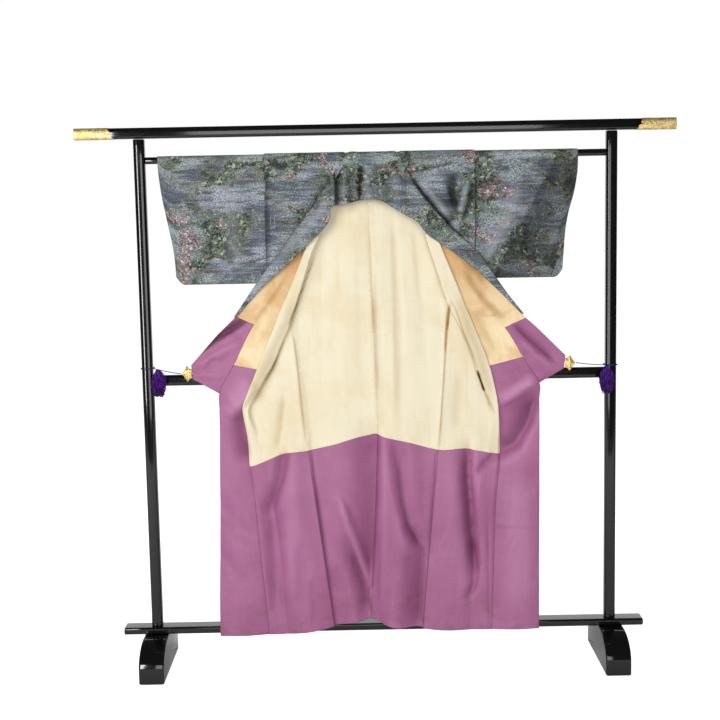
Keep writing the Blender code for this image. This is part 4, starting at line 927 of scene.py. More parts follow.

# Lines along which the materials change the colour. A positive strength darkens: on most lines it is
# painted shade in creases, in gaps and under edges, and on some it is a stain or a dark seam. A strength
# below nothing lightens, as painted highlight on lit facets.
SHADE_AND_STAIN_LINES = {
    "cream_lining": lines(
        1.0,
        (22, 0.4, (-257, 1238), (-291, 1137), (-343, 1035), (-366, 987), (-420, 880)),
        (3.2, 0.7, (-200, 1340), (-240, 1237), (-261, 1184), (-284, 1130)),
        ((3, 9), 0.34, (-303, 1077), (-324, 1028), (-344, 989), (-375, 945)),
        ((4, 6), 0.55, (-280, 1125), (-269, 1066), (-259, 967), (-250, 842), (-241, 715)),
        # Painted shadow of the rolled strip on the face beside it.
        ((5, 30), 0.28, (-322, 1030), (-360, 955), (-404, 885)),
        ((22, 6), 0.32, (-303, 908), (-309, 868), (-318, 794), (-332, 724)),
        (4.2, 0.55, (226, 1190), (216, 1095), (209, 989), (198, 854), (186, 705)),
        (22, 0.36, (240, 1240), (285, 1110), (320, 1010), (362, 860)),
        (2.6, 0.45, (222, 1212), (248, 1159), (269, 1095), (295, 1030), (316, 966)),
        # The slit beside the rolled strip, above strength 1: painted near black as the shadow inside it.
        (3, 2.6, (313, 968), (322, 940), (335, 903)),
        (5, 0.4, (338, 898), (352, 865), (366, 830)),
        ((5, 2), 0.8, (230, 1178), (225, 1140), (221, 1104)),
        (6, 0.34, (222, 1180), (216, 1100), (211, 1030)),
        (24, 0.25, (255, 972), (243, 880), (240, 772)),
        (6, 0.34, (-34, 1530), (-28, 1440), (-20, 1250), (-16, 1100)),
        (8, 0.22, (-16, 1200), (-12, 1000), (-9, 780)),
        ((10, 22), 0.36, (46, 1500), (50, 1350), (52, 1150), (52, 950), (50, 780)),
        (12, -0.8, (20, 1500), (18, 1300), (12, 1000)),
        ((12, 4), 0.3, (-6, 1300), (-4, 1150), (-4, 900)),
        (12, 0.24, (112, 1440), (120, 1320), (128, 1180)),
        (20, 0.26, (-130, 1500), (-100, 1480), (-60, 1500)),
        (22, 0.22, (-170, 1420), (-180, 1340), (-190, 1250))),
    "aged_lining": lines(
        1.0,
        (22, 0.45, (-250, 1400), (-300, 1340), (-340, 1280)),
        (10, 0.35, (-290, 1280), (-340, 1205), (-400, 1135)),
        (26, 0.25, (-330, 1170), (-350, 1120), (-370, 1080)),
        (18, 0.5, (230, 1390), (290, 1310), (350, 1240)),
        (14, 0.5, (270, 1290), (330, 1200), (400, 1130)),
        (24, 0.4, (300, 1160), (340, 1080), (370, 1020)),
        (6, 0.3, (330, 1150), (350, 1140), (375, 1145))),
    "mauve_hem_lining": lines(
        1.0,
        # Painted shade on the collar's outer strip; the negative strengths below are painted highlight.
        ((30, 10), 0.95, (-405, 1150), (-470, 1110), (-530, 1074), (-575, 1040)),
        ((30, 10), 0.42, (-452, 850), (-446, 770), (-420, 690)),
        (30, -0.9, (-410, 950), (-445, 905), (-475, 880)),
        ((50, 10), 0.55, (490, 880), (462, 790), (426, 735), (376, 712)),
        (26, -0.9, (500, 940), (440, 905), (385, 880)),
        (60, -0.7, (440, 640), (440, 400), (430, 180)),
        ((7, 14), 0.55, (430, 1116), (470, 1075), (512, 1037), (555, 996)),
        ((50, 8), 0.35, (-14, 700), (-21, 560), (-31, 420), (-40, 310)),
        ((26, 10), 0.45, (-110, 400), (-82, 335), (-56, 250), (-50, 190)),
        (12, 0.6, (52, 700), (66, 550), (83, 470), (111, 415), (136, 370)),
        ((28, 10), 0.55, (272, 745), (272, 620), (280, 500), (292, 392), (299, 320)),
        ((36, 10), 0.25, (126, 360), (120, 280), (114, 150)),
        ((24, 12), 0.3, (-318, 700), (-332, 620), (-362, 530)),
        ((26, 20), 0.28, (-366, 520), (-362, 400), (-358, 240)),
        (10, 0.35, (366, 705), (335, 674), (304, 642))),
    "shoulder": lines(
        1.0,
        # Painted shade along the band's sewn edge and in the V between the shoulder's folds.
        (8, 0.9, (98, 1598), (150, 1530), (205, 1458), (290, 1350), (315, 1320)),
        ((20, 12), 0.8, (246, 1598), (242, 1550), (250, 1500), (262, 1455)),
        (8, 0.45, (222, 1560), (236, 1530), (240, 1500)),
        ((6, 16), 0.6, (305, 1565), (292, 1505), (270, 1445)),
        (10, -0.8, (286, 1560), (271, 1500), (262, 1460)),
        (16, -0.7, (155, 1550), (190, 1505), (235, 1452)),
        (5, 0.8, (95, 1598), (150, 1606), (200, 1618), (250, 1628)),
        (8, -0.6, (110, 1618), (160, 1630), (210, 1636)),
        (6, 0.5, (-210, 1606), (-270, 1622), (-335, 1636)),
        ((20, 4), 0.45, (-150, 1585), (-195, 1515), (-250, 1440)),
        ((4, 14), 0.7, (-348, 1640), (-350, 1450), (-351, 1290))),
    "over_collar": lines(
        1.0,
        # Painted shade in the cowl's gathers; negative strengths are painted highlight on the band.
        ((5, 18), 0.85, (-120, 1618), (-127, 1560), (-129, 1490)),
        ((12, 6), 0.45, (-82, 1580), (-75, 1500)),
        ((12, 5), 0.75, (-45, 1630), (-49, 1570), (-54, 1505)),
        ((10, 18), -0.55, (-25, 1610), (-26, 1560), (-24, 1510)),
        (9, -0.4, (-98, 1615), (-98, 1520)),
        ((16, 12), 0.32, (40, 1605), (36, 1550), (32, 1500)),
        (22, -0.8, (-150, 1550), (-175, 1490), (-215, 1440), (-300, 1350), (-400, 1225)),
        ((6, 10), 0.5, (100, 1588), (145, 1527), (200, 1462), (285, 1372))),
    "sleeve": lines(
        1.0,
        # Painted highlight on the sleeves' lit folds (negative strengths) and painted shade beyond them.
        (35, -0.7, (455, 1570), (405, 1430), (335, 1310)),
        ((14, 230), 0.66, (608, 1700), (474, 1450), (331, 1180)),
        ((10, 14), 0.5, (315, 1548), (360, 1556), (400, 1570)),
        ((14, 5), 0.8, (312, 1640), (311, 1500), (309, 1330)),
        (30, 0.25, (-530, 1600), (-520, 1450), (-540, 1330)),
        (34, -0.5, (-460, 1620), (-455, 1450), (-450, 1290))),
}
MID_RAIL_CENTRE, WAVER = 0.953, 0.0012


def creased(x, z, rows):
    """The forward distances of several creases together."""
    return sum(crease(x, z, *row) for row in rows)


def body_forward(x, z):
    """All the body's creases, with a slow waver, held back where the mid rail stands behind."""
    forward = creased(x, z, BODY_CREASES) + WAVER * np.sin(19.0 * x + 2.3 * z) * np.sin(5.0 * z + 0.7)
    near_rail = np.exp(-((z - MID_RAIL_CENTRE) / 0.06) ** 2)
    return np.where(forward < 0.0, forward * (1.0 - 0.75 * near_rail), forward)


# %% [markdown]
# ## From section to cloth
# The fold helper walks along a fold by turning a little at each step, so the cloth's length through
# the fold stays the same whatever angle it opens to. The finer grid here uses the same table as the
# plain solids, with about six times as many steps.

# %% Sections
ARC, RUN, BACK_FREE, BACK_TUCKED, FACE_STEPS, ROLL_STEPS, OVERLAP_STEPS = 9, 3, 40, 4, 18, 10, 28
FOLD = 2 * ARC + RUN
BACK_STEPS = BACK_FREE + BACK_TUCKED
SIDE_SEAM = BACK_STEPS + ARC + RUN + 6
OVERLAP_SEAM = BACK_STEPS + 2 * FOLD + FACE_STEPS + ROLL_STEPS + ARC + RUN + 6
FRONT_EDGE = BACK_STEPS + 3 * FOLD + FACE_STEPS + ROLL_STEPS + OVERLAP_STEPS
ROW_SPACING = 0.008


def fine_heights(knots):
    """Heights with every knot kept and steps of about ROW_SPACING between them."""
    pieces = [np.linspace(a, b, max(2, math.ceil((b - a) / ROW_SPACING)) + 1)[:-1]
              for a, b in zip(knots[:-1], knots[1:])]
    return np.concatenate(pieces + [knots[-1:]])


def fold(turn, run, towards, radius=FOLD_ROUND):
    """Steps (outward, forward) along a fold: a round, a straight run and a round back."""
    part = (np.arange(ARC) + 0.5) / ARC
    heading = np.concatenate([part, np.ones(RUN), part[::-1]])[None, :] * turn[:, None]
    length = np.full(heading.shape, math.pi * radius / ARC)
    length[:, ARC:ARC + RUN] = run[:, None] / RUN
    start = np.zeros((len(turn), 1))
    return (np.hstack([start, np.cumsum(length * np.cos(heading), axis=1)]),
            np.hstack([start, np.cumsum(length * np.sin(heading), axis=1) * towards]))


def stretch(start, end, steps, swell):
    """Steps between two points (outward, forward), swelling forward by a sine between them."""
    t = np.linspace(0.0, 1.0, steps + 1)[None, :]
    outward = start[0][:, None] * (1 - t) + end[0][:, None] * t
    forward = start[1][:, None] * (1 - t) + end[1][:, None] * t
    return outward, forward + swell[:, None] * np.sin(math.pi * t)


def back_stretch(centre, side_start, base, swell, tucked):
    """The back: a swell forward by a squared sine, then flat where the front covers it."""
    free_end = side_start - tucked
    t = np.linspace(0.0, 1.0, BACK_FREE + 1)[None, :]
    u = np.linspace(0.0, 1.0, BACK_TUCKED + 1)[None, 1:]
    outward = np.hstack([centre[:, None] * (1 - t) + free_end[:, None] * t,
                         free_end[:, None] * (1 - u) + side_start[:, None] * u])
    forward = base[:, None] + swell[:, None] * np.sin(math.pi * t) ** 2
    return outward, np.hstack([forward, np.repeat(base[:, None], BACK_TUCKED, axis=1)])


def body_sections(value, base, lift):
    """Outward and forward positions of a half's sections, one row for each height."""
    turn = {name: np.radians(np.clip(value[name + "_turn"], 0, 178)) for name in ("side", "roll", "edge")}
    side = fold(turn["side"], value["side_run"], 1.0)
    roll = fold(turn["roll"], value["roll_run"], 1.0)
    edge = fold(turn["edge"], value["edge_run"], -1.0, EDGE_FOLD_ROUND)
    side_start = value["side"] + FOLD_ROUND - side[0][:, -1]
    roll_start = value["roll"] + FOLD_ROUND - roll[0][:, -1]
    edge_start = value["edge"] - EDGE_FOLD_ROUND
    front_base = base + lift
    side_end = front_base + side[1][:, -1]
    roll_end = side_end + roll[1][:, -1]
    overlap_start = (edge_start + edge[0][:, -1], roll_end + edge[1][:, -1])
    tucked = value["side_run"] * (1 - np.cos(turn["side"])) / 2 + TUCK_MARGIN
    parts = [
        back_stretch(value["centre"], side_start, front_base, value["back_swell"], tucked),
        (side[0] + side_start[:, None], side[1] + front_base[:, None]),
        stretch((value["side"] + FOLD_ROUND, side_end), (roll_start, side_end), FACE_STEPS,
                value["face_swell"]),
        (roll[0] + roll_start[:, None], roll[1] + side_end[:, None]),
        stretch((value["roll"] + FOLD_ROUND, roll_end), (edge_start, roll_end), ROLL_STEPS, 0 * base),
        (edge[0] + edge_start[:, None], edge[1] + roll_end[:, None]),
        stretch(overlap_start, (value["front"], value["front_forward"]), OVERLAP_STEPS,
                value["overlap_swell"]),
    ]
    return [np.hstack([parts[0][i]] + [part[i][:, 1:] for part in parts[1:]]) for i in (0, 1)]


def row_heights(side, rows, heights, knots, outward):
    """Level rows bent to follow the hem and the upper edges of the hem lining, fading between."""
    places, hems, edges = EDGE_LINES.values()
    at = {row: int(np.argmin(np.abs(rows - row))) for row in (HEM_LINING_ROW, OVERLAP_HEM_LINING_ROW)}
    lining_line = through(side * outward[at[HEM_LINING_ROW]], places, edges)[None, :]
    hem = through(side * outward[0], places, hems)[None, :]
    share = ((heights - knots[0]) / (knots[HEM_LINING_ROW] - knots[0]))[:, None]
    low = hem * (1 - share) + lining_line * share
    fade = np.exp(-(rows - HEM_LINING_ROW) / 1.3)[:, None]
    high = heights[:, None] + fade * (lining_line - knots[HEM_LINING_ROW])
    z = np.where(rows[:, None] <= HEM_LINING_ROW, low, high)
    line = outward[at[OVERLAP_HEM_LINING_ROW]]
    target = np.interp(line, (line[OVERLAP_SEAM], line[FRONT_EDGE]), OVERLAP_HEM_LINING_HEIGHT[side])
    near = np.clip(1.0 - np.abs(rows - OVERLAP_HEM_LINING_ROW), 0.0, 1.0)[:, None]
    return z + near * (target[None, :] - z[at[OVERLAP_HEM_LINING_ROW]][None, :])


def silk_normals(grid):
    """Normals of a hanging grid that point to its silk side, which faces +Y on a flat stretch."""
    normals = normals_of(grid)
    return normals * np.sign(normals[len(normals) // 2, 1, 1])


# %% Half, collar and back grids
COLLAR_STEPS, ROD_STEPS, SMOOTH_ABOVE = 22, 18, 1.60
BACK_NECK_MIDDLE, BACK_NECK_HALF, BACK_NECK_DROP = -0.012, 0.093, 0.015


def body_grid(side):
    """One half below the shoulder: middle points, normals on the silk's side, and row numbers."""
    knots = BODY[side]["z"]
    heights = fine_heights(knots)
    rows = np.interp(heights, knots, np.arange(len(knots)))
    rise = np.clip((heights - knots[SEAM_TOP_ROW[side]] + 0.010) / 0.040, 0.0, 1.0)
    outward, forward = body_sections(read(BODY[side], knots, heights),
                                     through(heights, HANG_HEIGHT, HANG_FORWARD), FRONT_LIFT * eased(rise))
    z = row_heights(side, rows, heights, knots, outward)
    grid = np.stack([side * outward, -forward - body_forward(side * outward, z), z], -1)
    normals = silk_normals(grid)
    normals[:, 0, 0] = 0.0
    return grid, unit(normals), rows


def with_collar(side, half):
    """The turned-out collar: straight rows from the front edge to its free edge, normals shared."""
    grid, normals, rows = half
    first = int(np.argmin(np.abs(rows - COLLAR_ROW)))
    out, z, forward = (np.interp(rows[first:], COLLAR_ROW + np.arange(len(given)), given)
                       for given in COLLAR[side].values())
    free = np.stack([side * out, -forward, z], -1)
    overlap = grid[first:, OVERLAP_SEAM:]
    t = np.linspace(0.0, 1.0, COLLAR_STEPS + 1)[None, 1:, None]
    band = overlap[:, -1:] * (1 - t) + free[:, None] * t
    pulls = creased(band[..., 0], band[..., 2], COLLAR_CREASES)
    band[..., 1] -= pulls * np.minimum(1.0, 3.0 * np.sin(math.pi * np.minimum(t[..., 0], 0.9999)))
    joined = np.concatenate([overlap, band], axis=1)
    joined_normals = silk_normals(joined)
    seam = FRONT_EDGE - OVERLAP_SEAM
    normals[first:, FRONT_EDGE] = joined_normals[:, seam]
    return joined[:, seam:], joined_normals[:, seam:], rows[first:]


def back_grid(side, half):
    """The back panel from the hem up over the rod to the neckline."""
    grid, normals, rows = half
    top = int(np.argmin(np.abs(rows - SEAM_TOP_ROW[side])))
    lower, lower_normals = grid[:top + 1, :SIDE_SEAM + 1], normals[:top + 1, :SIDE_SEAM + 1]
    share = lower[-1, :, 0] - lower[-1, 0, 0]
    share = share / share[-1]
    knots = np.concatenate([lower[-1, 0, 2] + np.array([0.0, SEAM_TOP_RISE]), BACK_SPREAD["z"]])
    centres = np.concatenate([[lower[-1, 0, 0]] * 2, BACK_SPREAD["centre_x"]])
    seam = side * lower[-1, -1, 0]
    edges = np.concatenate([[seam, seam + SEAM_TOP_STEP], BACK_SPREAD[WORDS[side] + "_side"]])
    heights = fine_heights(knots)[1:]
    centre, edge = np.interp(heights, knots, centres), side * np.interp(heights, knots, edges)
    x = centre[:, None] + (edge - centre)[:, None] * share
    z = np.repeat(heights[:, None], len(share), axis=1)
    first = -lower[-1, 0, 1]
    straight = through(heights, HANG_HEIGHT, HANG_FORWARD)
    forward = straight + (first - straight[0]) * np.clip(1 - (heights - heights[0]) / 0.1, 0, 1)
    wave = body_forward(x, z) * np.clip((SMOOTH_ABOVE - z) / 0.12, 0.0, 1.0)
    upper = np.stack([x, -forward[:, None] - wave, z], -1)
    angles = np.radians(np.linspace(0.0, 180.0, ROD_STEPS + 1))[1:]
    over = np.repeat(upper[-1:], len(angles) + 1, axis=0)
    over[:, :, 1] = np.append(OVER_ROD * np.cos(angles), -OVER_ROD)[:, None]
    over[:, :, 2] = np.append(ROD_HEIGHT + OVER_ROD * np.sin(angles), ROD_HEIGHT - NECKLINE_DROP)[:, None]
    at_neck = np.clip((BACK_NECK_HALF - np.abs(over[-1, :, 0] - BACK_NECK_MIDDLE)) / 0.02, 0.0, 1.0)
    over[-1, :, 2] -= BACK_NECK_DROP * at_neck
    whole = np.concatenate([lower, upper, over])
    new_normals = silk_normals(whole)
    new_normals[:, 0, 0] = 0.0
    new_normals[:top + 1] = lower_normals
    numbers = np.concatenate([rows[:top + 1], SEAM_TOP_ROW[side] + 1 + np.arange(len(whole) - top - 1)])
    return whole, unit(new_normals), numbers, top + len(upper)


# %% Cut the panels
SEAM_ALLOWANCE = 0.0006
BOLT_PLACE = {True: np.array([0.0, 0.0]), False: np.array([1.37, 0.61])}


def cloth_piece(name, grid, normals, reach, finishes, uv, shade_and_stain_lines=(), ring=False):
    """A wall of cloth that stands for the plain solid of its name."""
    obj = wall(name + "_cloth", grid, normals, reach, finishes, uv, ring, shade_and_stain_lines)
    declare_sheet(dress(obj, name), grid, ring)


def panel(name, finish, slot, grid, rows, columns, reach):
    """One cut piece: a stretch of a half's grid with its wall, standing for its plain solid. At the
    centre back one half's silk and the other's lining reach past the seam, so that no light comes
    through. The two halves are cut from different places of the bolt."""
    middle, normals = (part[rows[0]:rows[1] + 1, columns[0]:columns[1] + 1].copy() for part in grid[:2])
    left, outside = name.endswith("left"), reach == SILK_SIDE
    if "back" in name and left == outside:
        middle[:, 0, 0] += SEAM_ALLOWANCE if left else -SEAM_ALLOWANCE
    uv = cloth_uv(middle) + BOLT_PLACE[left]
    cloth_piece(name, middle, normals, reach, [finish], uv, SHADE_AND_STAIN_LINES.get(slot, ()))


def make_half(side):
    """All the panels of one half: each has its silk, its hem lining and the lining above that."""
    half = body_grid(side)
    collar = with_collar(side, half)
    back = back_grid(side, half)
    top, back_top, lining_top = len(half[0]) - 1, len(back[0]) - 1, back[3]
    hem_line, collar_foot, overlap_line, collar_line = (
        int(np.argmin(np.abs(half[2] - row)))
        for row in (HEM_LINING_ROW, COLLAR_ROW, OVERLAP_HEM_LINING_ROW, COLLAR_HEM_LINING_ROW))
    collar_top = top - collar_foot
    for piece, grid, columns, line, silk_top, inner_top, finish, slot in (
            ("back", back, (0, SIDE_SEAM), hem_line, back_top, lining_top, cream, "cream_lining"),
            ("front", half, (SIDE_SEAM, OVERLAP_SEAM), hem_line, top, top, cream, "cream_lining"),
            ("overlap", half, (OVERLAP_SEAM, FRONT_EDGE), overlap_line, top, top, aged, "aged_lining"),
            ("collar", collar, (0, COLLAR_STEPS), collar_line - collar_foot, collar_top, collar_top,
             aged, "aged_lining")):
        name = f"{piece}_{WORDS[side]}"
        panel(name, silk, "patterned_silk", grid, (0, silk_top), columns, SILK_SIDE)
        panel("hem_lining_" + name, mauve, "mauve_hem_lining", grid, (0, line), columns, LINING_SIDE)
        panel("lining_" + name, finish, slot, grid, (line, inner_top), columns, LINING_SIDE)


make_half(LEFT)
make_half(RIGHT)

# %% [markdown]
# ## Over collar, shoulders and sleeves
# At the neck the collar is folded out into a wide soft band, drawn forward of the rod, whose free edge
# droops in gathers. It is a strip ruled between two lines, the sewn edge and the free edge. The fronts
# hang over the rod behind it, and each sleeve is a flattened tube over the rod, closed at its foot.

# %% Over collar table
OVER_COLLAR = table(
    "sewn_x sewn_z sewn_forward free_x free_z free_forward",
    (-459, 1154, 25, -451, 1153, 25),
    (-424, 1204, 24, -410, 1199, 24),
    (-385, 1259, 23.5, -363, 1249, 24),
    (-342, 1315, 23, -311, 1296, 24),
    (-298, 1372, 22.5, -258, 1341, 24),
    (-257, 1427, 22, -205, 1392, 24),
    (-217, 1481, 21.5, -160, 1437, 24.5),
    (-166, 1551, 19.5, -147, 1462, 26),
    (-116, 1622, 17.3, -141, 1497, 30),
    (-86, 1650, 17.3, -100, 1503, 29),
    (-47, 1651, 17.3, -62, 1513, 30),
    (-10, 1651, 17.3, -20, 1518, 27),
    (28, 1651, 17.3, 15, 1513, 28),
    (67, 1648, 17.3, 52, 1490, 29),
    (98, 1606, 17.7, 95, 1463, 28),
    (130, 1547, 19.5, 128, 1443, 26),
    (182, 1486, 21.5, 157, 1407, 25),
    (236, 1423, 22, 197, 1377, 24),
    (280, 1382, 22.5, 241, 1347, 24),
    (322, 1338, 23, 289, 1311, 24),
    (367, 1276, 23.5, 343, 1262, 24),
    (415, 1208, 24, 402, 1203, 24),
    (462, 1148, 25, 456, 1147, 25))

# %% Over collar
OVER_ROWS, OVER_STEPS, NECK_STEPS, NECK_FADE, COWL_SWELL = 220, 30, 8, 0.012, 0.003
NECK_MIDDLE, NECK_HALF, NECK_RADIUS, NECK_HEIGHT = -0.011, 0.094, 0.0173, 0.0153
COWL_FOLDS = lines(
    1000.0,
    ((7, 17), -15, (-116, 1632), (-124, 1570), (-127, 1490)),
    (8, 4, (-98, 1620), (-99, 1560), (-100, 1505)),
    ((16, 7), -12, (-86, 1600), (-78, 1550), (-70, 1500)),
    (7, 3, (-66, 1625), (-64, 1575), (-60, 1530)),
    ((17, 6), -15, (-42, 1638), (-49, 1570), (-53, 1508)),
    ((8, 18), 8, (-28, 1622), (-31, 1560), (-30, 1510)),
    ((26, 15), -9, (42, 1614), (37, 1555), (30, 1500)),
    (15, 5, (64, 1600), (66, 1540), (68, 1485)),
    (11, -5, (92, 1585), (96, 1520), (98, 1462)),
    ((6, 16), 6, (-140, 1585), (-190, 1505), (-258, 1420)),
    ((20, 10), -4, (-160, 1520), (-205, 1448), (-270, 1372)),
    (12, 4, (120, 1560), (178, 1480), (250, 1395)),
    (16, -4, (110, 1500), (160, 1440), (225, 1375)))


def over_collar_grid():
    """Straight rows from the sewn edge to the free edge, swelling forward between by a sine, with the
    cowl's folds added. At the neck the rows go on over the rod, round its axis, to its ridge."""
    knots = np.arange(len(OVER_COLLAR["sewn_x"]))
    value = read(OVER_COLLAR, knots, np.linspace(0, knots[-1], OVER_ROWS + 1))
    sewn, free = (np.stack([value[edge + "_x"], -value[edge + "_forward"], value[edge + "_z"]], -1)
                  for edge in ("sewn", "free"))
    t = np.linspace(0.0, 1.0, OVER_STEPS + 1)[None, :, None]
    grid = sewn[:, None] * (1 - t) + free[:, None] * t
    forward = COWL_SWELL * np.sin(math.pi * t[..., 0]) + creased(grid[..., 0], grid[..., 2], COWL_FOLDS)
    grid[..., 1] -= forward * np.clip(t[..., 0] * 14.0, 0.0, 1.0)
    inside = np.clip((NECK_HALF - np.abs(value["sewn_x"] - NECK_MIDDLE)) / NECK_FADE, 0.0, 1.0)[:, None]
    share = np.linspace(1.0, 0.0, NECK_STEPS + 1)[None, :-1]
    angle = np.radians(2.0 + 86.0 * eased(inside)) * share
    over = np.repeat(sewn[:, None], NECK_STEPS, axis=1)
    over[..., 1] += NECK_RADIUS * (1.0 - np.cos(angle))
    over[..., 2] += NECK_HEIGHT * np.sin(angle)
    return np.concatenate([over, grid], axis=1)


COLLAR_BOLT_PLACE = np.array([0.83, 0.41])
band = over_collar_grid()
cloth_piece("over_collar", band, normals_of(band), COLLAR_SIDE, [silk],
            band[..., [0, 2]] + COLLAR_BOLT_PLACE, SHADE_AND_STAIN_LINES["over_collar"])
print("over collar:", np.round(cloth_uv(band).max(axis=(0, 1)), 3))

# %% Shoulder table
SHOULDER = table(
    "z left_inner left_arm right_inner right_arm forward",
    (1631, 98, 344.5, 75, 307.5, 13.2),
    (1580, 130, 345.5, 88, 308, 14),
    (1530, 168, 346, 132, 308, 14.8),
    (1480, 204, 346, 174, 307.5, 15.5),
    (1430, 241, 346, 218, 307, 16),
    (1380, 279, 346, 262, 306, 16.5),
    (1345, 305, 346, 292, 305.5, 16.5),
    (1300, 330, 347, 310, 315, 16.5),
    (1264, 350, 354, 350, 353, 16.5))

# %% Front shoulders
SHOULDER_RADIUS, SEAM_OVERLAP = 0.0149, {LEFT: 0.0060, RIGHT: 0.0035}
SHOULDER_ROWS, SHOULDER_COLUMNS, RIDGE_ROWS, SHOULDER_BOLT_TOP = 64, 49, 15, 1.70
SHOULDER_FOLDS = lines(
    1000.0,
    ((8, 11), -13, (94, 1605), (150, 1530), (205, 1458), (290, 1350)),
    (15, 5, (140, 1570), (185, 1515), (232, 1455)),
    (6, -6, (85, 1600), (140, 1607), (200, 1620), (290, 1638)),
    ((24, 12), -13, (238, 1605), (243, 1530), (252, 1450)),
    (10, 6, (288, 1565), (273, 1505), (258, 1455)),
    ((8, 19), -11, (306, 1565), (292, 1510), (268, 1440)),
    ((12, 6), -4, (-130, 1600), (-165, 1550), (-215, 1482), (-300, 1370)),
    (24, 5, (-210, 1612), (-250, 1545), (-300, 1450)),
    ((30, 20), -6, (-330, 1600), (-310, 1500), (-310, 1400)),
    (6, -4.5, (-205, 1606), (-270, 1622), (-340, 1638)))


def shoulder_grid(side):
    """Level rows from the inner edge to just past the armhole, with the folds added. The last rows
    turn back over the rod to its ridge, a cloth's thickness outside the sleeve and the back."""
    knots = -SHOULDER["z"]
    heights = -np.linspace(knots[0], knots[-1], SHOULDER_ROWS)
    value = read(SHOULDER, knots, -heights)
    t = np.linspace(0.0, 1.0, SHOULDER_COLUMNS)[None, :]
    inner = value[WORDS[side] + "_inner"][:, None]
    arm = value[WORDS[side] + "_arm"][:, None] + SEAM_OVERLAP[side]
    x = side * (inner * (1 - t) + arm * t)
    z = np.repeat(heights[:, None], t.shape[1], axis=1)
    forward = value["forward"][:, None] + 0.001 * np.sin(math.pi * t)
    forward = np.maximum(forward, SHOULDER_RADIUS * np.clip((heights[:, None] - 1.50) / 0.08, 0.0, 1.0))
    deepest = -0.0015 - 0.0130 * np.clip((1.62 - z) / 0.08, 0.0, 1.0)
    forward = forward + np.maximum(creased(x, z, SHOULDER_FOLDS), deepest)
    front = np.stack([x, -forward, z], -1)
    angle = np.radians(np.linspace(100.0, 0.0, RIDGE_ROWS))[:, None]
    over = np.repeat(front[:1], len(angle), axis=0)
    over[..., 1] = -SHOULDER_RADIUS * np.cos(angle)
    over[..., 2] = ROD_HEIGHT + SHOULDER_RADIUS * np.sin(angle)
    return np.concatenate([over, front])


for side in (LEFT, RIGHT):
    grid = shoulder_grid(side)
    normals = normals_of(grid)
    normals *= -np.sign(normals[30, 2, 1])
    down = SHOULDER_BOLT_TOP - walked(grid[:, 20])[:, None]
    uv = np.stack([grid[..., 0], np.broadcast_to(down, grid.shape[:2])], -1)
    cloth_piece("front_shoulder_" + WORDS[side], grid, normals, SILK_SIDE, [silk], uv,
                SHADE_AND_STAIN_LINES["shoulder"])

# %% Sleeve table
SLEEVE = table(
    "z left_arm left_cuff right_arm right_cuff",
    (1258, 353, 640, 306, 588),
    (1285, 351, 640.5, 306, 588.5),
    (1342, 349, 643, 307, 592),
    (1456, 349, 660, 308.5, 603),
    (1540, 348, 675, 311.5, 625),
    (1600, 347.5, 682, 311, 634),
    (1670, 347, 686, 311, 635))
SLEEVE_BOTTOM = {LEFT: 1.259, RIGHT: 1.262}
SLEEVE_CORNER, SLEEVE_SWELL, SLEEVE_HEM_ROUND = 0.028, 0.004, 0.0035
CUFF_OPENING, CUFF_CLOSED = 0.230, 0.0013

# %% Sleeves
SLEEVE_FOLDS = {
    LEFT: lines(
        1000.0,
        ((30, 24), -7, (-400, 1600), (-395, 1450), (-400, 1300)),
        ((30, 34), 5, (-460, 1620), (-460, 1450), (-450, 1290)),
        ((36, 26), -7, (-530, 1600), (-520, 1450), (-540, 1330)),
        ((26, 30), 4, (-610, 1560), (-600, 1420), (-590, 1300))),
    RIGHT: lines(
        1000.0,
        ((40, 26), 12, (455, 1570), (405, 1430), (335, 1310)),
        ((20, 30), -9, (330, 1575), (322, 1500), (318, 1410)),
        ((50, 34), -14, (540, 1600), (515, 1450), (455, 1320)),
        ((16, 10), -6, (400, 1575), (355, 1562), (312, 1550)),
        (22, 5, (600, 1560), (580, 1440), (545, 1330))),
}
STATIONS, WALL_STEPS, ROUND_STEPS, HEM_STEPS = 56, 56, 16, 8


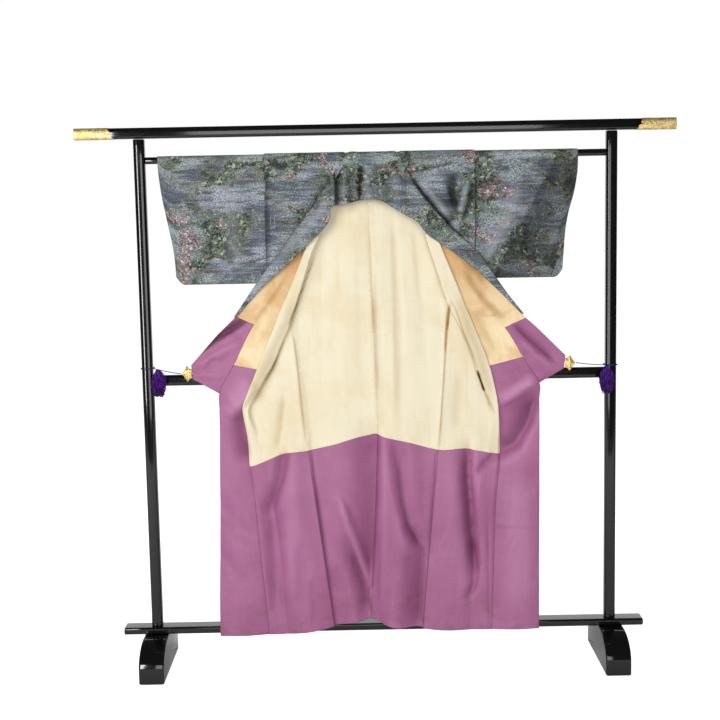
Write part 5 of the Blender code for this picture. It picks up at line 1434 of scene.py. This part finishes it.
def sleeve_grid(side):
    """Rings round the rod and the two hanging walls, from the armhole to the cuff.

    A ring's depth tapers from the rod's radius to the foot's round, and the walls meet below the cuff
    opening. x runs from the armhole's edge to the cuff's edge at each height."""
    t = 1.0 - (1.0 - np.linspace(0.0, 1.0, STATIONS + 1)[:, None]) ** 1.3
    bottom = SLEEVE_BOTTOM[side] + SLEEVE_CORNER * np.maximum(0.0, (t - 0.9) / 0.1) ** 2
    down = np.linspace(0.0, 1.0, WALL_STEPS + 1)[None, :]
    z_wall = ROD_HEIGHT + (bottom + SLEEVE_HEM_ROUND - ROD_HEIGHT) * down
    depth = OVER_ROD + (SLEEVE_HEM_ROUND - OVER_ROD) * down + SLEEVE_SWELL * np.sin(math.pi * down)
    below = np.clip((ROD_HEIGHT - CUFF_OPENING + 0.03 - z_wall) / 0.06, 0, 1)
    closing = np.clip((t - 0.86) / 0.14, 0, 1) * below
    depth = depth * (1 - closing) + CUFF_CLOSED * closing
    over = np.linspace(0.0, math.pi, ROUND_STEPS + 1)[None, 1:-1]
    under = np.linspace(0.0, math.pi, HEM_STEPS + 1)[None, 1:-1]
    flat = np.ones_like(t)
    y = np.hstack([-depth[:, ::-1], -OVER_ROD * np.cos(over) * flat, depth,
                   depth[:, -1:] * np.cos(under)])
    z = np.hstack([z_wall[:, ::-1], ROD_HEIGHT + OVER_ROD * np.sin(over) * flat, z_wall,
                   z_wall[:, -1:] - SLEEVE_HEM_ROUND * np.sin(under)])
    arm, cuff = (through(z, SLEEVE["z"], SLEEVE[f"{WORDS[side]}_{end}"]) for end in ("arm", "cuff"))
    x = side * (arm + (cuff - arm) * t)
    y = y - creased(x, z, SLEEVE_FOLDS[side]) * np.clip((ROD_HEIGHT - 0.02 - z) / 0.12, 0.0, 1.0)
    return np.stack([x, y, z], -1)


for side in (LEFT, RIGHT):
    grid = sleeve_grid(side)
    round_it = walked(grid, 1)
    uv = np.stack([grid[..., 0], round_it + SLEEVE_BOTTOM[side]], -1)
    normals = normals_of(grid, ring=True)
    normals *= -np.sign(normals[STATIONS // 2, WALL_STEPS // 2, 1])
    cloth_piece("sleeve_" + WORDS[side], grid, normals, SLEEVE_SIDE, [silk, cream], uv,
                SHADE_AND_STAIN_LINES["sleeve"], ring=True)
    print("sleeve round:", round(float(round_it.max()), 3))

# %% [markdown]
# ## Clips, cords and tassels
# A gilt leaf clip grips the lower end of each collar. A thin cord runs from the clip's tip to a loop
# round the post, where a violet tassel hangs. Cords are a profile carried along a path, with lobes
# that turn along it for the twist. The clip is two leaf shells, front and back, a slot apart.

# %% Tie sizes
POST_X, POST_WIDTH = 0.742, 0.036
CLIP_WIDTH, CLIP_SLOT, CLIP_GRIP, CLIP_FORWARD = 0.039, 0.0038, 0.007, 0.0260
CLIP_OUTWARD, CLIP_MIDDLE = {LEFT: 0.5990, RIGHT: 0.5940}, {LEFT: 0.9765, RIGHT: 0.9885}
CORD_RADIUS, CORD_SIDES, CORD_PLIES, TURNS_PER_METRE = 0.0015, 12, 2, 260.0
LOOP_HEIGHT, LOOP_POINTS, LOOP_CORNER = {LEFT: 0.9935, RIGHT: 0.9780}, 96, 1.30

# %% Cords
def round_angles(count):
    """Angles of a full circle, evenly spread, the last short of the first."""
    return np.linspace(0.0, 2 * math.pi, count, endpoint=False)


def cord_rings(path, closed=False):
    """A twisted cord: its radius times 0.88 + 0.12 * cos(plies * angle - twist), round the path."""
    angle = round_angles(CORD_SIDES)[None, :]
    twist = walked(path)[:, None] * TURNS_PER_METRE * math.pi / CORD_PLIES
    size = CORD_RADIUS * (0.88 + 0.12 * np.cos(CORD_PLIES * angle - twist * 2))
    return carried(path, np.stack([size * np.cos(angle), -size * np.sin(angle)], -1), closed=closed)


def tie_route(side):
    """The cord's eight points from the clip's tip to the loop on the post, sagging by a sine."""
    tip = CLIP_OUTWARD[side] - CLIP_GRIP + CLIP_WIDTH
    reach = POST_WIDTH / 2 + GAP + CORD_RADIUS
    start = np.array([side * (tip + 2 * GAP), -CLIP_FORWARD, CLIP_MIDDLE[side]])
    end = np.array([side * (POST_X - reach - CORD_RADIUS - 2 * GAP), -reach + 0.004,
                    LOOP_HEIGHT[side] + 0.0004])
    t = np.linspace(0.0, 1.0, 8)[:, None]
    return start + (end - start) * t - np.array([0.0, 0.0, 0.0015]) * np.sin(math.pi * t)


def smooth_path(points, count):
    """A finer path through a few points."""
    at, knots = np.linspace(0, len(points) - 1, count), np.arange(len(points))
    return np.stack([through(at, knots, points[:, axis]) for axis in range(3)], -1)


def loop_path(side):
    """A rounded square round the post, a cord's radius clear of it."""
    reach = POST_WIDTH / 2 + GAP + CORD_RADIUS
    angle = round_angles(LOOP_POINTS)
    x, y = np.cos(angle), np.sin(angle)
    size = np.minimum(reach / np.maximum(np.abs(x), np.abs(y)), reach * LOOP_CORNER)
    return np.stack([side * POST_X + size * x, size * y, np.full(LOOP_POINTS, LOOP_HEIGHT[side])], -1)


for side in (LEFT, RIGHT):
    word = WORDS[side]
    route = smooth_path(tie_route(side), 240)
    tie = tube_mesh(f"tie_cord_{word}_twist", cord_rings(route), [cord_silk])
    dress(tie, f"tie_cord_{word}")
    length = float(walked(route)[-1])
    loop = tube_mesh(f"cord_loop_{word}_twist", cord_rings(loop_path(side), True), [violet], True)
    dress(loop, f"cord_loop_{word}")
    print("tie cord", word, round(length, 3))

# %% Clips
LEAF_SIZE, PINCH = (0.0355, 0.0500), 1e-6
LEAF_TIPS = ((0, 1.0), (84, 0.95), (-88, 1.0), (146, 0.72), (-148, 0.80))


def leaf_shell(side, facing):
    """A domed leaf: points by angle and by share from the middle. The radius is 0.74 plus a bell of
    0.26 * weight for each tip, and the dome carries veins that run to the tips."""
    across = round_angles(120)[None, :]
    share = np.linspace(0.0, 1.0, 15)[:, None]
    turns = [(np.degrees(across) - angle + 180.0) % 360.0 - 180.0 for angle, weight in LEAF_TIPS]
    radius = 0.74 + sum(0.26 * weight * np.exp(-(turn / 17.0) ** 2)
                        for turn, (angle, weight) in zip(turns, LEAF_TIPS))
    x = share * radius * np.cos(across) * LEAF_SIZE[0] / 2
    z = share * radius * np.sin(across) * LEAF_SIZE[1] / 2
    veins = 0.0014 * share * sum(np.exp(-(turn / 9.0) ** 2) for turn in turns)
    hammered = 0.0004 * np.sin(9.0 * across + 5.0 * share) * np.sin(11.0 * share + 2.0 * across)
    y = facing * (CLIP_SLOT / 2 + 0.0002 + 0.0024 * (1.0 - share ** 2) + veins + hammered * share)
    middle = CLIP_OUTWARD[side] - CLIP_GRIP + CLIP_WIDTH / 2
    return np.stack([side * (middle + x), -CLIP_FORWARD + y + 0 * x, CLIP_MIDDLE[side] + z], -1)


for side in (LEFT, RIGHT):
    word = WORDS[side]
    for facing, face in ((-1.0, "front"), (1.0, "back")):
        grid = leaf_shell(side, facing)
        normals = normals_of(grid, ring=True)
        normals[0] = (0.0, facing, 0.0)
        grid[0] += PINCH * unit(grid[1] - grid[0])
        shell = wall(f"clip_{word}_{face}", grid, normals * np.sign(normals[5, 5, 1]) * facing,
                     (-0.0011, 0.0), [clip_gilt], uv=grid[..., [0, 2]], ring=True)
        dress(shell, f"clip_{word}")

# %% Tassels
TASSEL_OUTWARD = {LEFT: 0.7040, RIGHT: 0.7240}
TASSEL_DROP, TASSEL_HEAD, TASSEL_LENGTH = 0.009, 0.0120, 0.082
TASSEL_SPREAD, TASSEL_FLATTEN = 0.0250, 0.46
TASSEL_STRANDS, TASSEL_SIDES, STRAND_RADIUS = 210, 5, 0.0009
GOLDEN_ANGLE = math.radians(137.508)


def tassel_head(at):
    """A knot turned about a vertical line: radius by height from a short profile, grooved by thread."""
    knots = np.array([0.009, 0.008, 0.0045, 0.0, -0.006, -0.012, -0.018])
    sizes = np.array([0.0010, 0.0050, 0.0082, 0.0104, 0.0112, 0.0110, 0.0100])
    height = np.linspace(knots[0], knots[-1], 70)[:, None]
    angle = round_angles(64)[None, :]
    size = through(-height, -knots, sizes) * (1.0 + 0.05 * np.cos(20 * angle + height * 900.0))
    ring = np.stack([size * np.cos(angle), size * np.sin(angle), height + 0 * angle], -1)
    return at + ring


def strand_rings(number, at, side, rng):
    """One strand: a crimped thin tube that leaves the head, bulges round the body and closes again.
    Its distance from the axis follows a short profile, and the crimp is a sine of about 1 mm."""
    ring, angle = math.sqrt((number + 0.5) / TASSEL_STRANDS), number * GOLDEN_ANGLE
    drop = np.linspace(0.0, 1.0, 15)[:, None]
    clump = 0.5 + 0.5 * math.sin(5.0 * angle + 3.0 * ring + side)
    fall = TASSEL_LENGTH * (1.0 - 0.30 * rng.random() ** 2 - 0.10 * clump * ring)
    profile = through(drop, (0.0, 0.2, 0.45, 0.75, 1.0), (0.40, 0.80, 1.0, 0.90, 0.68))
    spread = ring * profile * TASSEL_SPREAD * (0.74 + 0.22 * rng.random() + 0.14 * clump)
    waver = 0.0018 * np.sin(drop * (18 + 16 * rng.random()) + 6.3 * rng.random()) * (0.3 + drop)
    path = np.concatenate([
        at[0] + spread * math.cos(angle) + waver,
        at[1] + spread * TASSEL_FLATTEN * math.sin(angle) + 0.6 * waver,
        at[2] + 0.001 - fall * drop], axis=1)
    around = round_angles(TASSEL_SIDES)[None, :]
    size = STRAND_RADIUS * (0.9 + 0.5 * rng.random()) * (1.0 - 0.3 * drop)
    return carried(path, np.stack([size * np.cos(around), size * np.sin(around)], -1), (0.0, 1.0, 0.0))


def make_tassel(side, rng):
    """The head as one turned piece, and the fringe's strands together as another."""
    name = "tassel_" + WORDS[side]
    loop_front = POST_WIDTH / 2 + 2 * GAP + 2 * CORD_RADIUS
    at = np.array([side * TASSEL_OUTWARD[side], -(loop_front + TASSEL_HEAD),
                   LOOP_HEIGHT[side] - TASSEL_DROP])
    head = tube_mesh(name + "_head", tassel_head(at)[:, ::-1], [violet])
    dress(head, name)
    rings = np.array([strand_rings(number, at, side, rng) for number in range(TASSEL_STRANDS)])
    index = np.arange(rings[..., 0].size).reshape(rings.shape[:3])
    faces = [grid_faces(index, True), index[:, 0, ::-1], index[:, -1]]
    dress(add_mesh(name + "_fringe", rings, faces, [violet]), name)


rng = np.random.default_rng(7)
make_tassel(LEFT, rng)
make_tassel(RIGHT, rng)
print("tassel strands each:", TASSEL_STRANDS)

# %% [markdown]
# ## The stand
# The real stand is turned and planed wood: every bar is a little round, so that the lacquer shows a
# long streak with black on both sides. Each bar is a section carried along a straight path. The section
# is a superellipse, |u|^n + |v|^n = 1, which runs from a circle at n = 2 to a sharp box at high n. Flat
# boxes would mirror one flat grey over a whole face.

# %% Bars
RAIL_HALF, RAIL_DEPTH, RAIL_HEIGHT, RAIL_TOP = 0.945, 0.030, 0.037, 1.755
RAIL_VISIBLE_HALF, RAIL_INSET = 0.872, 0.001
RAIL_MIDDLE, POST_FOOT, POST_HEAD = RAIL_TOP - RAIL_HEIGHT / 2, 0.1423, 1.7177
MID_RAIL_HEIGHT, MID_RAIL_DEPTH = 0.035, 0.024
BOARD_HALF, BOARD_DEPTH, BOARD_TOP, BOARD_BOTTOM = 0.848, 0.062, 0.142, 0.119
BAR_SIDES = 64


def superellipse(power, count):
    """Points (u, v) with |u|^n + |v|^n = 1, evenly spread by angle."""
    angle = round_angles(count)
    u, v = np.cos(angle), np.sin(angle)
    size = (np.abs(u) ** power + np.abs(v) ** power) ** (-1.0 / power)
    return np.stack([u * size, v * size], -1)


def bar(name, node, start, end, half, power, ease=0.003):
    """A straight bar between two points; each end is drawn in over its last millimetres by a quarter
    round: inset = ease * (1 - sin(share * 90 degrees))."""
    start, end = np.asarray(start, float), np.asarray(end, float)
    length = np.linalg.norm(end - start)
    turn = np.linspace(0.0, math.pi / 2, 6)
    near = ease * (1.0 - np.cos(turn))
    at = np.concatenate([near, np.linspace(near[-1], length - near[-1], 24)[1:-1], (length - near)[::-1]])
    inset = np.concatenate([ease * (1.0 - np.sin(turn)), np.zeros(22), (ease * (1.0 - np.sin(turn)))[::-1]])
    path = start + (end - start) / length * at[:, None]
    size = np.asarray(half) - inset[:, None]
    reference = (0.0, 0.0, 1.0) if abs(end[0] - start[0]) > abs(end[2] - start[2]) else (0.0, 1.0, 0.0)
    rings = carried(path, superellipse(power, BAR_SIDES)[None] * size[:, None], reference)
    dress(tube_mesh(name, rings[:, ::-1], [lacquer]), node)


for side in (LEFT, RIGHT):
    post = "post_" + WORDS[side]
    bar(post + "_round", post, (side * POST_X, 0, POST_FOOT), (side * POST_X, 0, POST_HEAD),
        (POST_WIDTH / 2, POST_WIDTH / 2), 3.4)
between_posts = POST_X - POST_WIDTH / 2 - GAP
board_middle = (BOARD_TOP + BOARD_BOTTOM) / 2
for name, node, reach, height, half, power, ease in (
        ("top_rail_round", "top_rail", RAIL_VISIBLE_HALF, RAIL_MIDDLE,
         (RAIL_DEPTH / 2 - RAIL_INSET, RAIL_HEIGHT / 2 - RAIL_INSET), 3.0, 0.003),
        ("mid_rail_round", "mid_rail", between_posts, MID_RAIL_CENTRE,
         (MID_RAIL_DEPTH / 2, MID_RAIL_HEIGHT / 2), 3.2, 0.003),
        ("hanging_rod_round", "hanging_rod", between_posts, ROD_HEIGHT, (ROD_RADIUS, ROD_RADIUS), 2.0, 0.002),
        ("low_board_eased", "low_board", BOARD_HALF, board_middle,
         (BOARD_DEPTH / 2, (BOARD_TOP - BOARD_BOTTOM) / 2), 7.0, 0.003)):
    bar(name, node, (-reach, 0, height), (reach, 0, height), half, power, ease)


# %% Feet
FOOT_LENGTH, FOOT_WIDTH, FOOT_TOE_HEIGHT, FOOT_FLAT_TOP, FOOT_ROUND = 0.336, 0.081, 0.045, 0.100, 0.007
FOOT_POINTS, FOOT_AVERAGE = 240, 5


def foot_outline():
    """The side view as evenly spread points (forward, height), each averaged with its neighbours."""
    toe, flat = FOOT_LENGTH / 2, FOOT_FLAT_TOP / 2
    rise = BOARD_BOTTOM - GAP - FOOT_TOE_HEIGHT
    angle = np.linspace(math.pi / 2, 0.0, 24)
    slope = np.stack([toe - (toe - flat) * (1 - np.sin(angle)),
                      FOOT_TOE_HEIGHT + rise * np.cos(angle)], -1)
    half = np.concatenate([[(toe, 0.0)], slope])
    loop = np.concatenate([half, half[::-1] * (-1, 1), half[:1]])
    distance = walked(loop)
    at = np.linspace(0.0, distance[-1], FOOT_POINTS, endpoint=False)
    points = np.stack([np.interp(at, distance, loop[:, axis]) for axis in (0, 1)], -1)
    weights = np.hanning(FOOT_AVERAGE + 2)[1:-1]
    shifts = np.arange(FOOT_AVERAGE) - FOOT_AVERAGE // 2
    return sum(w * np.roll(points, s, axis=0) for w, s in zip(weights, shifts)) / weights.sum()


def make_foot(side):
    """The outline carried across the foot, drawn in along its own normals near both faces."""
    outline = foot_outline()
    heading = unit(np.roll(outline, -1, axis=0) - np.roll(outline, 1, axis=0))
    inward = np.stack([-heading[:, 1], heading[:, 0]], -1)
    inward *= np.sign(np.sum(inward * (np.array([0.0, 0.05]) - outline)))
    turn = np.linspace(0.0, math.pi / 2, 7)
    edge = FOOT_ROUND * (1 - np.cos(turn))
    across = np.concatenate([edge, FOOT_WIDTH - edge[::-1]]) - FOOT_WIDTH / 2
    inset = FOOT_ROUND * (1 - np.sin(turn))
    inset = np.concatenate([inset, inset[::-1]])
    section = outline[None] + inward[None] * inset[:, None, None]
    rings = np.stack([np.broadcast_to(side * POST_X + across[:, None], section.shape[:2]),
                      -section[..., 0], np.maximum(section[..., 1], 0.0)], -1)
    obj = tube_mesh(f"foot_{WORDS[side]}_eased", rings[:, ::-1], [lacquer])
    dress(obj, f"foot_{WORDS[side]}")


make_foot(LEFT)
make_foot(RIGHT)

# %% Rail caps
CAP_LENGTH, CAP_SHEET, CAP_POINTS, CAP_DOME, CAP_LID = 0.119, 0.0008, 96, 0.0016, 0.0012


def make_cap(side):
    """A thin gilt sleeve over the rail's end. Its inner edge is cut in a slanted scallop: the length
    grows towards the bottom and is notched once on the front and once on the back."""
    name = "rail_cap_" + WORDS[side]
    ring = superellipse(3.0, CAP_POINTS)
    half = np.array([RAIL_DEPTH / 2 - CAP_SHEET, RAIL_HEIGHT / 2 - CAP_SHEET])
    angle = np.arctan2(ring[:, 1], ring[:, 0])
    slant = -0.009 * ring[:, 1] + 0.0035 * np.cos(3 * angle) ** 2
    notch = 0.012 * np.exp(-((ring[:, 1] - 0.05) / 0.16) ** 2)
    inner_end = RAIL_HALF - CAP_LENGTH + 0.004 - slant + notch
    t = np.linspace(0.0, 1.0, 40)[:, None]
    x = RAIL_HALF - CAP_LID + (inner_end[None] - RAIL_HALF + CAP_LID) * t
    dent = 0.0003 * np.sin(70.0 * x + 3 * angle) * np.sin(31.0 * x)
    size = 1.0 + dent[..., None] / half
    grid = np.stack([side * x, ring[None, :, 0] * half[0] * size[..., 0],
                     RAIL_MIDDLE + ring[None, :, 1] * half[1] * size[..., 1]], -1)
    normals = normals_of(grid, ring=True)
    normals *= np.sign(np.sum(normals[..., 1] * grid[..., 1]))
    dress(wall(name + "_sleeve", grid, normals, (0.0, CAP_SHEET), [gilt], ring=True), name)
    shares = np.array([0.0, 0.4, 0.7, 0.88, 0.97, 1.0])[:, None, None]
    lid = np.array([side * RAIL_HALF, 0.0, RAIL_MIDDLE])
    rim = np.column_stack([np.full(CAP_POINTS, side * (RAIL_HALF - CAP_DOME)),
                           ring * (half + CAP_SHEET) + (0.0, RAIL_MIDDLE)])
    dome = lid + (rim - lid)[None] * shares
    dome[..., 0] = side * (RAIL_HALF - CAP_DOME * shares[..., 0] ** 2)
    dome[0] += PINCH * unit(dome[1] - dome[0])
    normals = np.broadcast_to(np.array([side, 0.0, 0.0]), dome.shape)
    dress(wall(name + "_end", dome, normals, (-CAP_SHEET, 0.0), [gilt], ring=True), name)


make_cap(LEFT)
make_cap(RIGHT)
print("stand bars, feet and caps made")

# %% [markdown]
# ## Floor and light
# A soft key from the upper left rakes across the folds, and a wide fill keeps their shadows open. The
# lacquer mirrors what stands round it, so tall panels that only reflections see give it long streaks,
# and the rest of the room is dark to reflections. To the camera the background is plain white.

# %% Floor
floor_paint, tree, shader = new_finish("pale_floor")
place = put(tree, "TexCoord").outputs["Object"]
clouds = noise(tree, place, 6.0, 3.0)
feed(tree, shader, Base_Color=tint(tree, clouds, colour(244, 244, 244), colour(248, 248, 248)),
     Roughness=0.8, Specular_IOR_Level=0.1, Emission_Color=(1.0, 1.0, 1.0, 1.0),
     Emission_Strength=times(tree, put(tree, "LightPath").outputs["Is Camera Ray"], 0.85))
FLOOR_HEIGHT = -0.0004
corners = np.array([[-12.0, -3.4], [12.0, -3.4], [12.0, 30.0], [-12.0, 30.0]])
points = np.column_stack([corners, np.full(4, FLOOR_HEIGHT)])
floor = add_mesh("floor", points, [np.array([[0, 1, 2, 3]])], [floor_paint])


# %% Lights
def area_light(name, at, aim, size, power, diffuse=True, glossy=True):
    """A soft panel of light at a place, facing a point, seen by either kind of reflected ray."""
    light = bpy.data.lights.new(name, "AREA")
    light.shape, light.size, light.size_y, light.energy = "RECTANGLE", *size, power
    obj = bpy.data.objects.new(name, light)
    bpy.context.scene.collection.objects.link(obj)
    back = (Vector(at) - Vector(aim)).normalized()
    obj.matrix_world = Matrix.Translation(at) @ back.to_track_quat("Z", "Y").to_matrix().to_4x4()
    obj.visible_diffuse, obj.visible_glossy = diffuse, glossy
    return obj


area_light("key", (-3.0, -3.2, 2.6), (0.0, 0.0, 1.0), (2.6, 2.6), 132.0, glossy=False)
area_light("fill", (1.8, -4.0, 1.8), (0.0, 0.0, 0.9), (3.0, 2.4), 70.0, glossy=False)
area_light("back_fill", (0.5, 4.2, 3.2), (0.0, 0.0, 1.0), (3.0, 2.0), 60.0, glossy=False)
area_light("left_panel", (-2.15, -4.2, 1.3), (-2.15, 0.0, 1.3), (0.6, 2.2), 75.0, diffuse=False)
area_light("front_panel", (0.0, -4.4, 1.1), (0.0, 0.0, 1.1), (2.3, 2.0), 50.0, diffuse=False)
area_light("backdrop", (0.0, 6.0, 2.0), (0.0, 0.0, 2.0), (9.0, 4.0), 100.0, diffuse=False)

# %% World
world = bpy.data.worlds.new("studio")
bpy.context.scene.world = world
world.use_nodes = True
tree = world.node_tree
tree.nodes.clear()
rays = put(tree, "LightPath").outputs
away = calc(tree, "MULTIPLY_ADD", rays["Is Glossy Ray"], -0.18, 0.23)
strength = put(tree, "Mix", {"Factor": rays["Is Camera Ray"], "A": away, "B": 1.0}).outputs["Result"]
sky = put(tree, "Background", {"Color": (1.0, 1.0, 1.0, 1.0), "Strength": strength}).outputs[0]
put(tree, "OutputWorld", {"Surface": sky})
bpy.context.scene.view_settings.view_transform = "Standard"
print("lights:", [light.name for light in bpy.data.lights])
